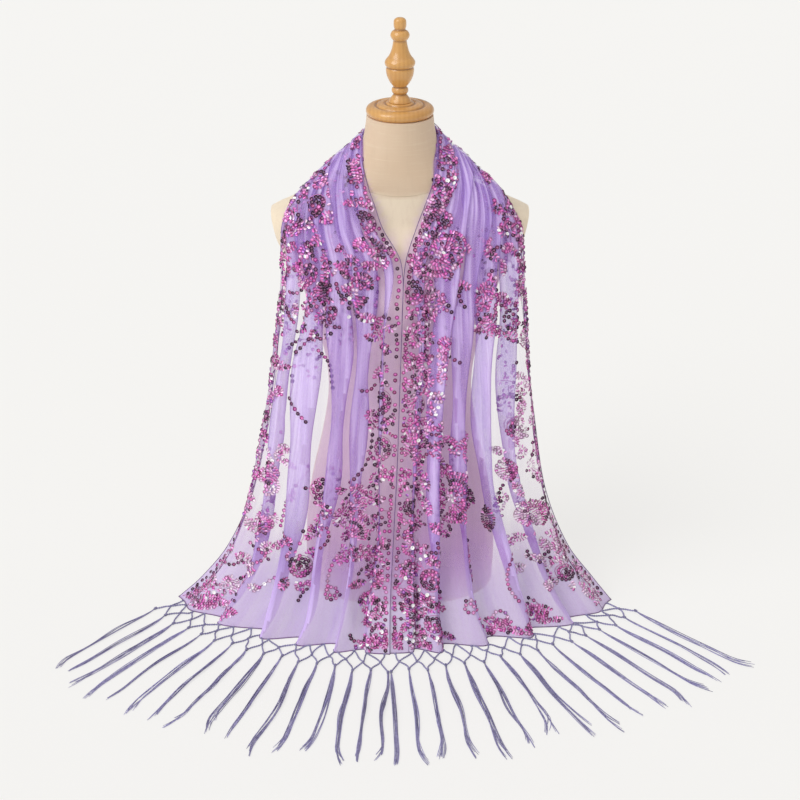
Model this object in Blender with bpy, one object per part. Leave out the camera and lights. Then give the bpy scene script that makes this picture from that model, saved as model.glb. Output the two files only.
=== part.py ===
"""Evening stole hung on a limbless dress form.

Metres, +Z up. X runs across the form, -Y is its front, and the origin is the middle of its flat base.
The stole is one rectangle of net: it stands on its left hem, climbs the left front, goes gathered round
the back of the neck and comes down the right front to its right hem. Each stretch is a wall of its own.
"""

import math
from collections import namedtuple

import bmesh
import bpy
from mathutils import Vector
from mathutils.bvhtree import BVHTree

# Driving dimensions
WALL = 0.0012  # thickness of the cloth's wall
SEAM_GAP = 0.0003  # clear space between pieces that meet
FORM_CLEARANCE = 0.0018  # from the form to the middle of the wall, so that flat facets stay clear
FORM_SEARCH = 0.050  # how far out the form is looked for from a point of the stole
SECTION_STEP = 0.075  # longest stretch of stole between two sections
SHOULDER_STEP = 0.020  # the same where the stole turns over the shoulders
SHOULDER_ROWS = 3  # rows of the section tables, from each seam down, that this holds for
NAPE_STEP = 0.034  # the same round the back of the neck
FOLD_FACETS = 8  # facets across one fold, from crest to crest

FORM_SIDES = 32
ARM_PLATE_REACH = 0.1925  # half the width across the two arm plates, at their upper edge
ARM_PLATE_HEIGHT = 0.648
ARM_PLATE_TILT = math.radians(12)  # the plates look a little downwards
ARM_PLATE_FOOT = 0.560  # the cut reaches no lower than this
NECK_TOP = 0.800

CAP_SIDES = 30
CAP_RADIUS = 0.050
FINIAL_SIDES = 20

TASSELS = 15  # on each hem
STRIP_WIDTH = 0.0022
LEG_WIDTH = 0.0018  # threads between the rows of knots
STRAND_WIDTH = 0.0024
FRINGE_FOOT = 0.0004  # clear of the floor
FRINGE_TOP = 0.0021
KNOT_RISE = 0.0014
FIRST_KNOTS = 0.025  # from the unfolded hem to each row of knots
SECOND_KNOTS = 0.047
CREST_PULL = 0.6  # how strongly a root is drawn to the crest of a fold, against its even place
TASSEL_LENGTH = 0.222
TASSEL_SPREAD = math.radians(4.9)  # from a tassel's line to each of its two strands, at the knot
TASSEL_BEND = math.radians(2.6)  # how far a tassel wanders from its line
SWEEP_AT_CENTRE = math.radians(3)  # how far a tassel turns outwards, by its place along the hem
SWEEP_AT_CORNER = math.radians(48)

FormRing = namedtuple("FormRing", "height half_width front back squareness")
FORM_RINGS = (
    FormRing(0.000, 0.1560, 0.100, 0.111, 2.30),
    FormRing(0.060, 0.1580, 0.104, 0.115, 2.30),
    FormRing(0.130, 0.1540, 0.103, 0.116, 2.25),
    FormRing(0.200, 0.1430, 0.097, 0.107, 2.20),
    FormRing(0.270, 0.1270, 0.089, 0.093, 2.15),
    FormRing(0.330, 0.1165, 0.082, 0.082, 2.10),
    FormRing(0.370, 0.1140, 0.081, 0.080, 2.10),
    FormRing(0.420, 0.1190, 0.088, 0.083, 2.15),
    FormRing(0.470, 0.1310, 0.102, 0.088, 2.20),
    FormRing(0.515, 0.1440, 0.113, 0.090, 2.25),
    FormRing(0.550, 0.1550, 0.111, 0.090, 2.30),
    FormRing(0.580, 0.1690, 0.103, 0.088, 2.30),
    FormRing(0.605, 0.1860, 0.092, 0.084, 2.30),
    FormRing(0.628, 0.1980, 0.080, 0.079, 2.30),
    FormRing(0.645, 0.2030, 0.070, 0.074, 2.25),
    FormRing(0.656, 0.1960, 0.064, 0.070, 2.20),
    FormRing(0.667, 0.1740, 0.060, 0.067, 2.10),
    FormRing(0.680, 0.1460, 0.056, 0.062, 2.00),
    FormRing(0.694, 0.1150, 0.053, 0.058, 2.00),
    FormRing(0.711, 0.0880, 0.051, 0.055, 2.00),
    FormRing(0.731, 0.0690, 0.049, 0.052, 2.00),
    FormRing(0.755, 0.0575, 0.049, 0.049, 2.00),
    FormRing(0.780, 0.0515, 0.049, 0.049, 2.00),
    FormRing(NECK_TOP, 0.0490, 0.049, 0.049, 2.00),
)

# The stole's sections, from the left hem round the nape to the right hem. Each runs from its inner edge
# to its outer edge, as an arc that is round (1) or straight (0).
Section = namedtuple("Section", "inner_x inner_y inner_z outer_x outer_y outer_z round")
LEFT_FALL = (
    Section(-0.0010, -0.236, 0.000, -0.371, -0.079, 0.000, 0.55),
    Section(-0.0012, -0.221, 0.033, -0.330, -0.070, 0.038, 0.60),
    Section(-0.0014, -0.203, 0.085, -0.288, -0.060, 0.090, 0.66),
    Section(-0.0014, -0.178, 0.180, -0.247, -0.050, 0.180, 0.72),
    Section(-0.0014, -0.157, 0.300, -0.219, -0.042, 0.285, 0.78),
    Section(-0.0014, -0.140, 0.420, -0.203, -0.036, 0.380, 0.84),
    Section(-0.0014, -0.127, 0.530, -0.191, -0.034, 0.475, 0.88),
    Section(-0.0040, -0.109, 0.610, -0.185, -0.040, 0.550, 0.90),
    Section(-0.0210, -0.088, 0.655, -0.183, -0.044, 0.600, 0.88),
    Section(-0.0360, -0.068, 0.683, -0.178, -0.042, 0.640, 0.84),
    Section(-0.0480, -0.046, 0.709, -0.163, -0.030, 0.671, 0.80),
    Section(-0.0560, -0.021, 0.740, -0.141, -0.008, 0.690, 0.60),
    Section(-0.0565, 0.003, 0.764, -0.120, 0.014, 0.698, 0.35),
)
NAPE = (
    Section(-0.0490, 0.028, 0.773, -0.094, 0.037, 0.692, 0.20),
    Section(-0.0300, 0.046, 0.777, -0.055, 0.056, 0.681, 0.10),
    Section(0.0000, 0.055, 0.779, 0.000, 0.066, 0.672, 0.00),
    Section(0.0300, 0.046, 0.779, 0.055, 0.056, 0.681, 0.10),
    Section(0.0490, 0.028, 0.777, 0.094, 0.037, 0.692, 0.20),
)
RIGHT_FALL = (
    Section(0.0565, 0.003, 0.768, 0.120, 0.014, 0.698, 0.35),
    Section(0.0565, -0.019, 0.744, 0.141, -0.008, 0.691, 0.60),
    Section(0.0500, -0.043, 0.714, 0.162, -0.030, 0.673, 0.80),
    Section(0.0380, -0.064, 0.686, 0.177, -0.042, 0.641, 0.84),
    Section(0.0240, -0.084, 0.655, 0.183, -0.044, 0.600, 0.88),
    Section(0.0110, -0.107, 0.608, 0.188, -0.040, 0.550, 0.90),
    Section(0.0040, -0.127, 0.530, 0.195, -0.034, 0.475, 0.88),
    Section(0.0030, -0.140, 0.420, 0.208, -0.036, 0.380, 0.84),
    Section(0.0030, -0.157, 0.300, 0.222, -0.042, 0.285, 0.78),
    Section(0.0030, -0.178, 0.180, 0.243, -0.050, 0.180, 0.72),
    Section(0.0030, -0.203, 0.085, 0.281, -0.060, 0.090, 0.66),
    Section(0.0030, -0.221, 0.033, 0.320, -0.071, 0.038, 0.60),
    Section(0.0030, -0.236, 0.000, 0.353, -0.088, 0.000, 0.55),
)
STOLE = LEFT_FALL + NAPE + RIGHT_FALL
LEFT_SEAM = len(LEFT_FALL) - 1  # the section where each fall meets the nape
RIGHT_SEAM = len(LEFT_FALL) + len(NAPE)

# Where the crests of the six folds lie between the inner edge (0) and the outer edge (1), how deep the
# folds are and how far their crests lean over, as a share of the space between two crests.
FOLD_NAMES = "abcdef"
FOLD_DEPTHS = (0.75, 1.10, 0.95, 1.25, 0.90, 0.70)  # each fold's share of its row's depth
FoldRow = namedtuple("FoldRow", "place a b c d e f depth lean")
FOLDS = (
    FoldRow("left hem", 0.065, 0.165, 0.315, 0.450, 0.640, 0.845, 0.0054, 0.00),
    FoldRow("left shin", 0.060, 0.170, 0.345, 0.510, 0.690, 0.870, 0.0105, 0.18),
    FoldRow("left waist", 0.080, 0.215, 0.405, 0.620, 0.785, 0.915, 0.0090, 0.24),
    FoldRow("left chest", 0.080, 0.200, 0.355, 0.505, 0.690, 0.870, 0.0055, 0.18),
    FoldRow("left seam", 0.090, 0.260, 0.420, 0.580, 0.740, 0.900, 0.0024, 0.00),
    FoldRow("right seam", 0.090, 0.260, 0.420, 0.580, 0.740, 0.900, 0.0024, 0.00),
    FoldRow("right chest", 0.090, 0.230, 0.380, 0.515, 0.690, 0.870, 0.0055, 0.18),
    FoldRow("right waist", 0.080, 0.190, 0.325, 0.515, 0.665, 0.840, 0.0090, 0.24),
    FoldRow("right shin", 0.070, 0.170, 0.310, 0.495, 0.670, 0.845, 0.0105, 0.18),
    FoldRow("right hem", 0.065, 0.160, 0.300, 0.477, 0.680, 0.845, 0.0054, 0.00),
)
EDGE_SHARE = 0.35  # what is left of the folds' depth at the two edges
FOLD_PLACES = {  # place: the section it lies at, counted in rows of STOLE
    "left hem": 0.0,
    "left shin": 2.6,
    "left waist": 4.5,
    "left chest": 7.4,
    "left seam": float(LEFT_SEAM),
    "right seam": float(RIGHT_SEAM),
    "right chest": RIGHT_SEAM + 4.6,
    "right waist": RIGHT_SEAM + 7.5,
    "right shin": RIGHT_SEAM + 9.4,
    "right hem": RIGHT_SEAM + 12.0,
}

TurnedRow = namedtuple("TurnedRow", "radius height")  # heights from the foot of the turned piece
CAP_PROFILE = (
    TurnedRow(0.0000, 0.0190),
    TurnedRow(0.0195, 0.0186),
    TurnedRow(0.0215, 0.0172),
    TurnedRow(0.0240, 0.0178),
    TurnedRow(0.0345, 0.0160),
    TurnedRow(0.0365, 0.0146),
    TurnedRow(0.0390, 0.0150),
    TurnedRow(0.0465, 0.0132),
    TurnedRow(0.0492, 0.0108),
    TurnedRow(CAP_RADIUS, 0.0075),
    TurnedRow(0.0492, 0.0035),
    TurnedRow(0.0470, 0.0010),
    TurnedRow(0.0455, 0.0000),
    TurnedRow(0.0000, 0.0000),
)
FINIAL_PROFILE = (
    TurnedRow(0.0000, 0.1215),
    TurnedRow(0.0052, 0.1205),
    TurnedRow(0.0086, 0.1170),
    TurnedRow(0.0095, 0.1125),
    TurnedRow(0.0080, 0.1070),
    TurnedRow(0.0072, 0.1035),
    TurnedRow(0.0115, 0.1015),
    TurnedRow(0.0139, 0.0965),
    TurnedRow(0.0120, 0.0915),
    TurnedRow(0.0097, 0.0890),
    TurnedRow(0.0112, 0.0830),
    TurnedRow(0.0160, 0.0720),
    TurnedRow(0.0212, 0.0600),
    TurnedRow(0.0222, 0.0560),
    TurnedRow(0.0190, 0.0515),
    TurnedRow(0.0198, 0.0470),
    TurnedRow(0.0165, 0.0370),
    TurnedRow(0.0115, 0.0250),
    TurnedRow(0.0100, 0.0215),
    TurnedRow(0.0120, 0.0180),
    TurnedRow(0.0118, 0.0140),
    TurnedRow(0.0100, 0.0110),
    TurnedRow(0.0135, 0.0070),
    TurnedRow(0.0162, 0.0030),
    TurnedRow(0.0165, 0.0000),
    TurnedRow(0.0000, 0.0000),
)

LINEN = ("linen", (0.74, 0.60, 0.42), 0.90)
NET = ("net", (0.60, 0.45, 0.76), 0.70)
FRINGE_YARN = ("fringe_yarn", (0.20, 0.17, 0.36), 0.65)
HONEY_WOOD = ("honey_wood", (0.60, 0.33, 0.13), 0.38)


def material_of(finish):
    """The Principled material of a finish, made once."""
    name, colour, roughness = finish
    material = bpy.data.materials.get(name) or bpy.data.materials.new(name)
    material.use_nodes = True
    shader = material.node_tree.nodes["Principled BSDF"]
    shader.inputs["Base Color"].default_value = (*colour, 1.0)
    shader.inputs["Roughness"].default_value = roughness
    shader.inputs["Metallic"].default_value = 0.0
    return material


def new_object(name, bm, finish, smooth_below=math.radians(40)):
    """A scene object from a bmesh, which it frees."""
    mesh = bpy.data.meshes.new(name)
    bm.to_mesh(mesh)
    bm.free()
    mesh.materials.append(material_of(finish))
    mesh.shade_smooth()
    mesh.set_sharp_from_angle(angle=smooth_below)
    piece = bpy.data.objects.new(name, mesh)
    bpy.context.scene.collection.objects.link(piece)
    return piece


def smooth_between(knots, values, at):
    """The value at a place on the smooth curve through (knot, value) pairs; values may be vectors."""
    last = len(knots) - 1
    i = 0
    while i < last - 1 and at > knots[i + 1]:
        i += 1
    span = knots[i + 1] - knots[i]
    t = min(max((at - knots[i]) / span, 0.0), 1.0)

    def slope(k):
        low, high = max(k - 1, 0), min(k + 1, last)
        return (values[high] - values[low]) * (1.0 / (knots[high] - knots[low]))

    start, end = values[i], values[i + 1]
    out = start * (2 * t**3 - 3 * t**2 + 1) + end * (3 * t**2 - 2 * t**3)
    return out + slope(i) * (span * (t**3 - 2 * t**2 + t)) + slope(i + 1) * (span * (t**3 - t**2))


def ease(low, high, at):
    """0 at low, 1 at high, level at both."""
    t = min(max((at - low) / (high - low), 0.0), 1.0)
    return t * t * (3 - 2 * t)


# The dress form


def form_ring(row):
    """The points of a superellipse round the form at one height, deeper or shallower behind than in front."""
    points = []
    for i in range(FORM_SIDES):
        turn = math.tau * i / FORM_SIDES
        across, along = math.cos(turn), math.sin(turn)
        power = 2.0 / row.squareness
        depth = row.back if along > 0 else row.front
        x = row.half_width * math.copysign(abs(across) ** power, across)
        y = depth * math.copysign(abs(along) ** power, along)
        points.append(Vector((x, y, row.height)))
    return points


def form_mesh():
    """A loft through the rings, with its arm plates cut flat."""
    bm = bmesh.new()
    rings = [[bm.verts.new(point) for point in form_ring(row)] for row in FORM_RINGS]
    for low, high in zip(rings, rings[1:]):
        for i in range(FORM_SIDES):
            j = (i + 1) % FORM_SIDES
            bm.faces.new((low[i], low[j], high[j], high[i]))
    bm.faces.new(reversed(rings[0]))
    bm.faces.new(rings[-1])
    for side in (-1, 1):
        outwards = Vector((side * math.cos(ARM_PLATE_TILT), 0, -math.sin(ARM_PLATE_TILT)))
        faces = [face for face in bm.faces if face.calc_center_median().z > ARM_PLATE_FOOT]
        edges = list({edge for face in faces for edge in face.edges})
        verts = list({vert for face in faces for vert in face.verts})
        cut = bmesh.ops.bisect_plane(
            bm,
            geom=verts + edges + faces,
            plane_co=(side * ARM_PLATE_REACH, 0, ARM_PLATE_HEIGHT),
            plane_no=outwards,
            clear_outer=True,
        )
        rim = [part for part in cut["geom_cut"] if isinstance(part, bmesh.types.BMEdge)]
        bmesh.ops.holes_fill(bm, edges=rim, sides=0)
    bmesh.ops.triangulate(bm, faces=bm.faces[:])
    bmesh.ops.recalc_face_normals(bm, faces=bm.faces[:])
    return bm


def turned_piece(name, profile, sides, foot, finish):
    """A wooden piece turned on the form's axis, from a profile listed top to bottom."""
    mesh = bpy.data.meshes.new(name)
    points = [(row.radius, 0, row.height) for row in profile]
    mesh.from_pydata(points, [(i, i + 1) for i in range(len(points) - 1)], [])
    mesh.materials.append(material_of(finish))
    piece = bpy.data.objects.new(name, mesh)
    piece.location = (0, 0, foot)
    bpy.context.scene.collection.objects.link(piece)
    screw = piece.modifiers.new("turning", "SCREW")
    screw.axis = "Z"
    screw.steps = screw.render_steps = sides
    screw.use_merge_vertices = True
    screw.merge_threshold = 0.00001
    screw.use_smooth_shade = True
    return piece


# The stole


class Cloth:
    """The middle surface of the stole, as a point for each place along it and across it."""

    def __init__(self, form):
        self.form = form
        self.inner = [Vector((row.inner_x, row.inner_y, row.inner_z)) for row in STOLE]
        self.outer = [Vector((row.outer_x, row.outer_y, row.outer_z)) for row in STOLE]
        self.along = [0.0]
        for i in range(1, len(STOLE)):
            step = (self.inner[i] - self.inner[i - 1]).length + (self.outer[i] - self.outer[i - 1]).length
            self.along.append(self.along[-1] + step / 2)
        self.length = self.along[-1]
        self.fold_along = [self.at_row(FOLD_PLACES[row.place]) for row in FOLDS]

    def at_row(self, row):
        """Metres from the left hem to a place counted in rows of STOLE."""
        low = min(int(row), len(STOLE) - 2)
        return self.along[low] + (row - low) * (self.along[low + 1] - self.along[low])

    def fold_column(self, name, along):
        return smooth_between(self.fold_along, [getattr(row, name) for row in FOLDS], along)

    def crests(self, along):
        """The places of the crests across the stole, with one more beyond each edge."""
        inside = [self.fold_column(name, along) for name in FOLD_NAMES]
        return [-inside[0], *inside, 2 - inside[-1]]

    def base(self, along, across):
        """The arc that the section would have with no folds."""
        inner = smooth_between(self.along, self.inner, along)
        outer = smooth_between(self.along, self.outer, along)
        round_share = smooth_between(self.along, [row.round for row in STOLE], along)
        reach = outer - inner
        sideways, back = Vector((reach.x, 0, 0)), Vector((0, reach.y, reach.z))
        quarter = across * math.pi / 2
        arc = sideways * math.sin(quarter) + back * (1 - math.cos(quarter))
        return inner + reach * across * (1 - round_share) + arc * round_share

    def outwards(self, along, across):
        """The unit vector out of the unfolded stole, away from the form."""
        step = 0.002
        before, after = max(along - step, 0), min(along + step, self.length)
        lengthwise = (self.base(after, across) - self.base(before, across)).normalized()
        low, high = max(across - 0.01, 0), min(across + 0.01, 1)
        sideways = (self.base(along, high) - self.base(along, low)).normalized()
        outwards = lengthwise.cross(sideways).normalized()
        here = self.base(along, across)
        middle = Vector((0, 0.02, here.z - 0.08))
        if outwards.dot(here - middle) < 0:
            outwards.negate()
        outwards.z *= ease(0.0, 0.05, here.z)  # level at the floor, so that the hem stays on it
        return outwards.normalized()

    def point(self, along, fold):
        """A point of the folded stole, held clear of the form. Fold counts crests across the stole: the first
        is at 1, and the edges lie in the troughs half a fold beyond the first and the last.
        """
        crests = self.crests(along)
        k = min(int(fold), len(crests) - 2)
        t = fold - k
        across = crests[k] + (crests[k + 1] - crests[k]) * t
        leans = [min(b - a, c - b) for a, b, c in zip(crests, crests[1:], crests[2:])]
        leans = [-leans[0], *leans, -leans[-1]]  # so that the lean is nothing at the edges
        depths = [(2 * EDGE_SHARE - 1) * FOLD_DEPTHS[0], *FOLD_DEPTHS, (2 * EDGE_SHARE - 1) * FOLD_DEPTHS[-1]]
        swing = math.cos(math.tau * t)
        lean = self.fold_column("lean", along) * (leans[k] + (leans[k + 1] - leans[k]) * t)
        depth = self.fold_column("depth", along) * (depths[k] + (depths[k + 1] - depths[k]) * t)
        shifted = min(max(across + lean * swing, 0), 1)
        outwards = self.outwards(along, shifted)
        return self.clear_of_form(self.base(along, shifted) + outwards * (depth * swing), outwards)

    def clear_of_form(self, point, outwards):
        """A point, pushed outwards where it would lie closer to the form than its clearance."""
        start = point + outwards * FORM_SEARCH
        spot, normal, _, distance = self.form.ray_cast(start, -outwards, FORM_SEARCH + FORM_CLEARANCE)
        if spot is not None:
            rise = FORM_SEARCH - distance + FORM_CLEARANCE / max(normal.dot(outwards), 0.4)
            point = point + outwards * max(rise, 0)
        spot, normal, _, _ = self.form.find_nearest(point)
        height = (point - spot).dot(normal)
        return point + normal * max(FORM_CLEARANCE - height, 0)


def section_places(cloth, first, last):
    """Places along the stole from one row to another, one at each row and more between distant rows."""
    places = []
    for row in range(first, last):
        start, end = cloth.along[row], cloth.along[row + 1]
        rows_off = max(LEFT_SEAM - 1 - row, row - RIGHT_SEAM)  # below 0 on the nape
        longest = NAPE_STEP if rows_off < 0 else SHOULDER_STEP if rows_off < SHOULDER_ROWS else SECTION_STEP
        steps = max(1, math.ceil((end - start) / longest))
        places += [start + (end - start) * i / steps for i in range(steps)]
    return places + [cloth.along[last]]


def wall_normal(cloth, along, fold):
    """The unit normal of the folded stole at a place, level where the wall meets the floor."""
    step, part = 0.004, 0.5 / FOLD_FACETS
    behind, ahead = max(along - step, 0), min(along + step, cloth.length)
    lengthwise = cloth.point(ahead, fold) - cloth.point(behind, fold)
    low, high = max(fold - part, 0.5), min(fold + part, len(FOLD_NAMES) + 0.5)
    sideways = cloth.point(along, high) - cloth.point(along, low)
    normal = sideways.cross(lengthwise).normalized()
    normal.z *= ease(0.0, 0.03, cloth.point(along, fold).z)
    return normal.normalized()


def wall_grids(cloth, places):
    """The two faces of a stretch's wall, as grids of points. The wall stands upright where it meets the floor."""
    one_face, other_face = [], []
    folds = [0.5 + i / FOLD_FACETS for i in range(len(FOLD_NAMES) * FOLD_FACETS + 1)]
    for along in places:
        line = [cloth.point(along, fold) for fold in folds]
        offsets = [wall_normal(cloth, along, fold) * (WALL / 2) for fold in folds]
        one_face.append([point + offset for point, offset in zip(line, offsets)])
        other_face.append([point - offset for point, offset in zip(line, offsets)])
    return one_face, other_face


def wall_mesh(one_face, other_face):
    """A closed wall between two grids of points of the same size."""
    bm = bmesh.new()
    sheets = [[[bm.verts.new(point) for point in line] for line in face] for face in (one_face, other_face)]
    rows, columns = len(one_face), len(one_face[0])
    for i in range(rows - 1):
        for j in range(columns - 1):
            one = [sheets[0][i + a][j + b] for a, b in ((0, 0), (0, 1), (1, 1), (1, 0))]
            other = [sheets[1][i + a][j + b] for a, b in ((1, 0), (1, 1), (0, 1), (0, 0))]
            bm.faces.new(one)
            bm.faces.new(other)
    rim = [(0, j) for j in range(columns)] + [(i, columns - 1) for i in range(1, rows)]
    rim += [(rows - 1, j) for j in range(columns - 2, -1, -1)] + [(i, 0) for i in range(rows - 2, 0, -1)]
    for here, after in zip(rim, rim[1:] + rim[:1]):
        a, b = sheets[0][here[0]][here[1]], sheets[0][after[0]][after[1]]
        c, d = sheets[1][after[0]][after[1]], sheets[1][here[0]][here[1]]
        bm.faces.new((b, a, d, c))
    bmesh.ops.triangulate(bm, faces=bm.faces[:], quad_method="SHORT_EDGE")
    bmesh.ops.recalc_face_normals(bm, faces=bm.faces[:])
    return bm


def stole_wall(name, cloth, places):
    """One stretch of the stole as an object, and the face of its wall that looks away from the form."""
    faces = wall_grids(cloth, places)
    new_object(name, wall_mesh(*faces), NET)
    return max(faces, key=lambda face: sum(-point.y for line in face for point in line))


# The fringe: a flat net of ribbons, laid out in plan and then given its thickness


class Net:
    """Knots and the ribbons between them, in plan. A ribbon ends squarely, or mitred against its neighbours."""

    def __init__(self):
        self.knots = []
        self.raised = set()
        self.ribbons = []

    def knot(self, x, y, raised=False):
        self.knots.append(Vector((x, y)))
        if raised:
            self.raised.add(len(self.knots) - 1)
        return len(self.knots) - 1

    def ribbon(self, start, end, width):
        self.ribbons.append((start, end, width))

    def ends_at(self, knot):
        """The ribbons at a knot, counter-clockwise: the knot at the other end, the direction and the width."""
        ends = []
        for a, b, width in self.ribbons:
            if knot in (a, b):
                other = b if knot == a else a
                direction = (self.knots[other] - self.knots[knot]).normalized()
                ends.append((math.atan2(direction.y, direction.x), other, direction, width))
        return sorted(ends)

    def corners(self, knot):
        """The corner to the left of each ribbon that leaves a knot."""
        centre, ends = self.knots[knot], self.ends_at(knot)
        found = {}
        for i, (_, other, direction, width) in enumerate(ends):
            left = Vector((-direction.y, direction.x))
            _, after, next_direction, next_width = ends[(i + 1) % len(ends)]
            turn = math.atan2(direction.cross(next_direction), direction.dot(next_direction)) % math.tau
            if len(ends) == 1:
                found[(other, "left")] = centre + left * (width / 2)
                found[(other, "right")] = centre - left * (width / 2)
                break
            if abs(math.sin(turn)) < 0.05:
                ahead = 0.0
            else:
                ahead = (next_width / 2 + width / 2 * math.cos(turn)) / math.sin(turn)
            corner = centre + left * (width / 2) + direction * ahead
            found[(other, "left")] = corner
            found[(after, "right")] = corner
        return found

    def mesh(self, foot, top, rise):
        """The net as one closed body between two heights, with its knots raised."""
        bm = bmesh.new()
        bottoms, tops, plan_faces = {}, {}, []
        keys = {}

        def plan_point(place):
            key = (round(place.x, 7), round(place.y, 7))
            if key not in keys:
                keys[key] = len(keys)
                bottoms[keys[key]] = bm.verts.new((place.x, place.y, foot))
                tops[keys[key]] = bm.verts.new((place.x, place.y, top))
            return keys[key]

        corners = [self.corners(knot) for knot in range(len(self.knots))]
        for a, b, _ in self.ribbons:
            places = (corners[a][b, "right"], corners[b][a, "left"], corners[b][a, "right"], corners[a][b, "left"])
            plan_faces.append(([plan_point(place) for place in places], None))
        for knot in range(len(self.knots)):
            ends = self.ends_at(knot)
            if len(ends) > 2:
                loop = [plan_point(corners[knot][other, "left"]) for _, other, _, _ in ends]
                plan_faces.append((loop, knot if knot in self.raised else None))
        open_sides = set()
        for loop, raised in plan_faces:
            sides = list(zip(loop, loop[1:] + loop[:1]))
            open_sides.symmetric_difference_update({side for side in sides if side[::-1] not in open_sides})
            open_sides -= {side[::-1] for side in sides}
            bm.faces.new([bottoms[i] for i in reversed(loop)])
            if raised is None:
                bm.faces.new([tops[i] for i in loop])
                continue
            crown = bm.verts.new((*self.knots[raised], top + rise))
            for a, b in sides:
                bm.faces.new((tops[a], tops[b], crown))
        for a, b in open_sides:
            bm.faces.new((tops[a], bottoms[a], bottoms[b], tops[b]))
        bmesh.ops.triangulate(bm, faces=bm.faces[:])
        return bm


def strip_line(edge, offset):
    """The plan line at a distance outside the hem, from the hem's own points."""
    line = []
    for i, point in enumerate(edge):
        before, after = edge[max(i - 1, 0)], edge[min(i + 1, len(edge) - 1)]
        into, out_of = (point - before), (after - point)
        into = into if into.length else out_of
        out_of = out_of if out_of.length else into
        into, out_of = into.normalized(), out_of.normalized()
        normals = [Vector((v.y, -v.x)) for v in (into, out_of)]
        middle = (normals[0] + normals[1]).normalized()
        if middle.y > 0:
            middle.negate()
        line.append(point + middle * (offset / abs(middle.dot(normals[0]))))
    return line


class HemLine:
    """The unfolded hem, from its end at the centre to its corner, measured by its own length."""

    def __init__(self, cloth, along, side):
        self.side = side
        steps = 60
        self.points = [cloth.base(along, i / steps) for i in range(steps + 1)]
        self.reached = [0.0]
        for before, after in zip(self.points, self.points[1:]):
            self.reached.append(self.reached[-1] + (after - before).length)

    def sweep(self, share):
        """How far the fringe turns outwards at a share of the hem."""
        return SWEEP_AT_CENTRE + (SWEEP_AT_CORNER - SWEEP_AT_CENTRE) * min(max(share, 0), 1)

    def heading(self, turn):
        return Vector((self.side * math.sin(turn), -math.cos(turn)))

    def place(self, share, outwards):
        """The plan place at a share of the hem and a distance outside it."""
        at = min(max(share, 0), 1) * self.reached[-1]
        i = 0
        while i < len(self.reached) - 2 and at > self.reached[i + 1]:
            i += 1
        t = (at - self.reached[i]) / (self.reached[i + 1] - self.reached[i])
        point = self.points[i].lerp(self.points[i + 1], t)
        return Vector((point.x, point.y)) + self.heading(self.sweep(share)) * outwards


def fringe(name, hem, hem_edge):
    """A hem's strip, its two rows of knots and its tassels."""
    line = strip_line([Vector((point.x, point.y)) for point in hem_edge], SEAM_GAP + STRIP_WIDTH / 2)
    net = Net()
    strip = [net.knot(*point) for point in line]
    for a, b in zip(strip, strip[1:]):
        net.ribbon(a, b, STRIP_WIDTH)

    def row_of_knots(count, first_share, distance):
        row = []
        for i in range(count):
            uneven = 1 + 0.08 * math.sin(2.3 * i + 5 * distance / FIRST_KNOTS)
            row.append(net.knot(*hem.place(first_share + i / TASSELS, distance * uneven), raised=True))
        return row

    roots = [0]
    for i in range(TASSELS + 1):
        target = hem.place((i + 0.3) / (TASSELS + 0.6), 0)
        out = hem.heading(hem.sweep(i / TASSELS))
        still_free = [net.knots[knot] - target for knot in strip[roots[-1] + 1 : len(strip) - 1 - TASSELS + i]]
        costs = [away.length - CREST_PULL * away.dot(out) for away in still_free]
        roots.append(roots[-1] + 1 + costs.index(min(costs)))
    roots.pop(0)
    first = row_of_knots(TASSELS, 0.5 / TASSELS, FIRST_KNOTS)
    second = row_of_knots(TASSELS + 1, 0.0, SECOND_KNOTS)
    for i, knot in enumerate(first):
        net.ribbon(roots[i], knot, LEG_WIDTH)
        net.ribbon(roots[i + 1], knot, LEG_WIDTH)
        net.ribbon(knot, second[i], LEG_WIDTH)
        net.ribbon(knot, second[i + 1], LEG_WIDTH)
    for i, knot in enumerate(second):
        length = TASSEL_LENGTH * (1 + 0.05 * math.sin(1.7 * i + hem.side))
        line = hem.sweep(i / TASSELS)
        for side in (-1, 1):
            place, above = net.knots[knot], knot
            for step, spread, bend in ((0.10, side, 0.0), (0.45, 0, -0.6), (0.45, 0, 1.0)):
                turn = line + TASSEL_SPREAD * spread + TASSEL_BEND * bend * math.sin(2.9 * i)
                place = place + hem.heading(turn) * length * step
                below = net.knot(*place)
                net.ribbon(above, below, STRAND_WIDTH)
                above = below
    new_object(name, net.mesh(FRINGE_FOOT, FRINGE_TOP, KNOT_RISE), FRINGE_YARN)


def main():
    for leftover in list(bpy.data.objects):
        bpy.data.objects.remove(leftover, do_unlink=True)
    form = form_mesh()
    cloth = Cloth(BVHTree.FromBMesh(form))
    new_object("dress_form", form, LINEN)
    cap_foot = NECK_TOP + SEAM_GAP
    turned_piece("neck_cap", CAP_PROFILE, CAP_SIDES, cap_foot, HONEY_WOOD)
    finial_foot = cap_foot + CAP_PROFILE[0].height + SEAM_GAP
    turned_piece("finial", FINIAL_PROFILE, FINIAL_SIDES, finial_foot, HONEY_WOOD)
    last = len(STOLE) - 1
    left = stole_wall("stole_fall_left", cloth, section_places(cloth, 0, LEFT_SEAM))
    right = stole_wall("stole_fall_right", cloth, section_places(cloth, RIGHT_SEAM, last))
    nape = section_places(cloth, LEFT_SEAM, RIGHT_SEAM)
    nape[0] += SEAM_GAP
    nape[-1] -= SEAM_GAP
    stole_wall("stole_nape", cloth, nape)
    fringe("fringe_left", HemLine(cloth, 0, -1), left[0])
    fringe("fringe_right", HemLine(cloth, cloth.length, 1), right[-1])


main()
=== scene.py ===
import math
from collections import namedtuple

import bmesh
import bpy
import numpy as np
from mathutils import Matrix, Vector
from mathutils.bvhtree import BVHTree


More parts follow.
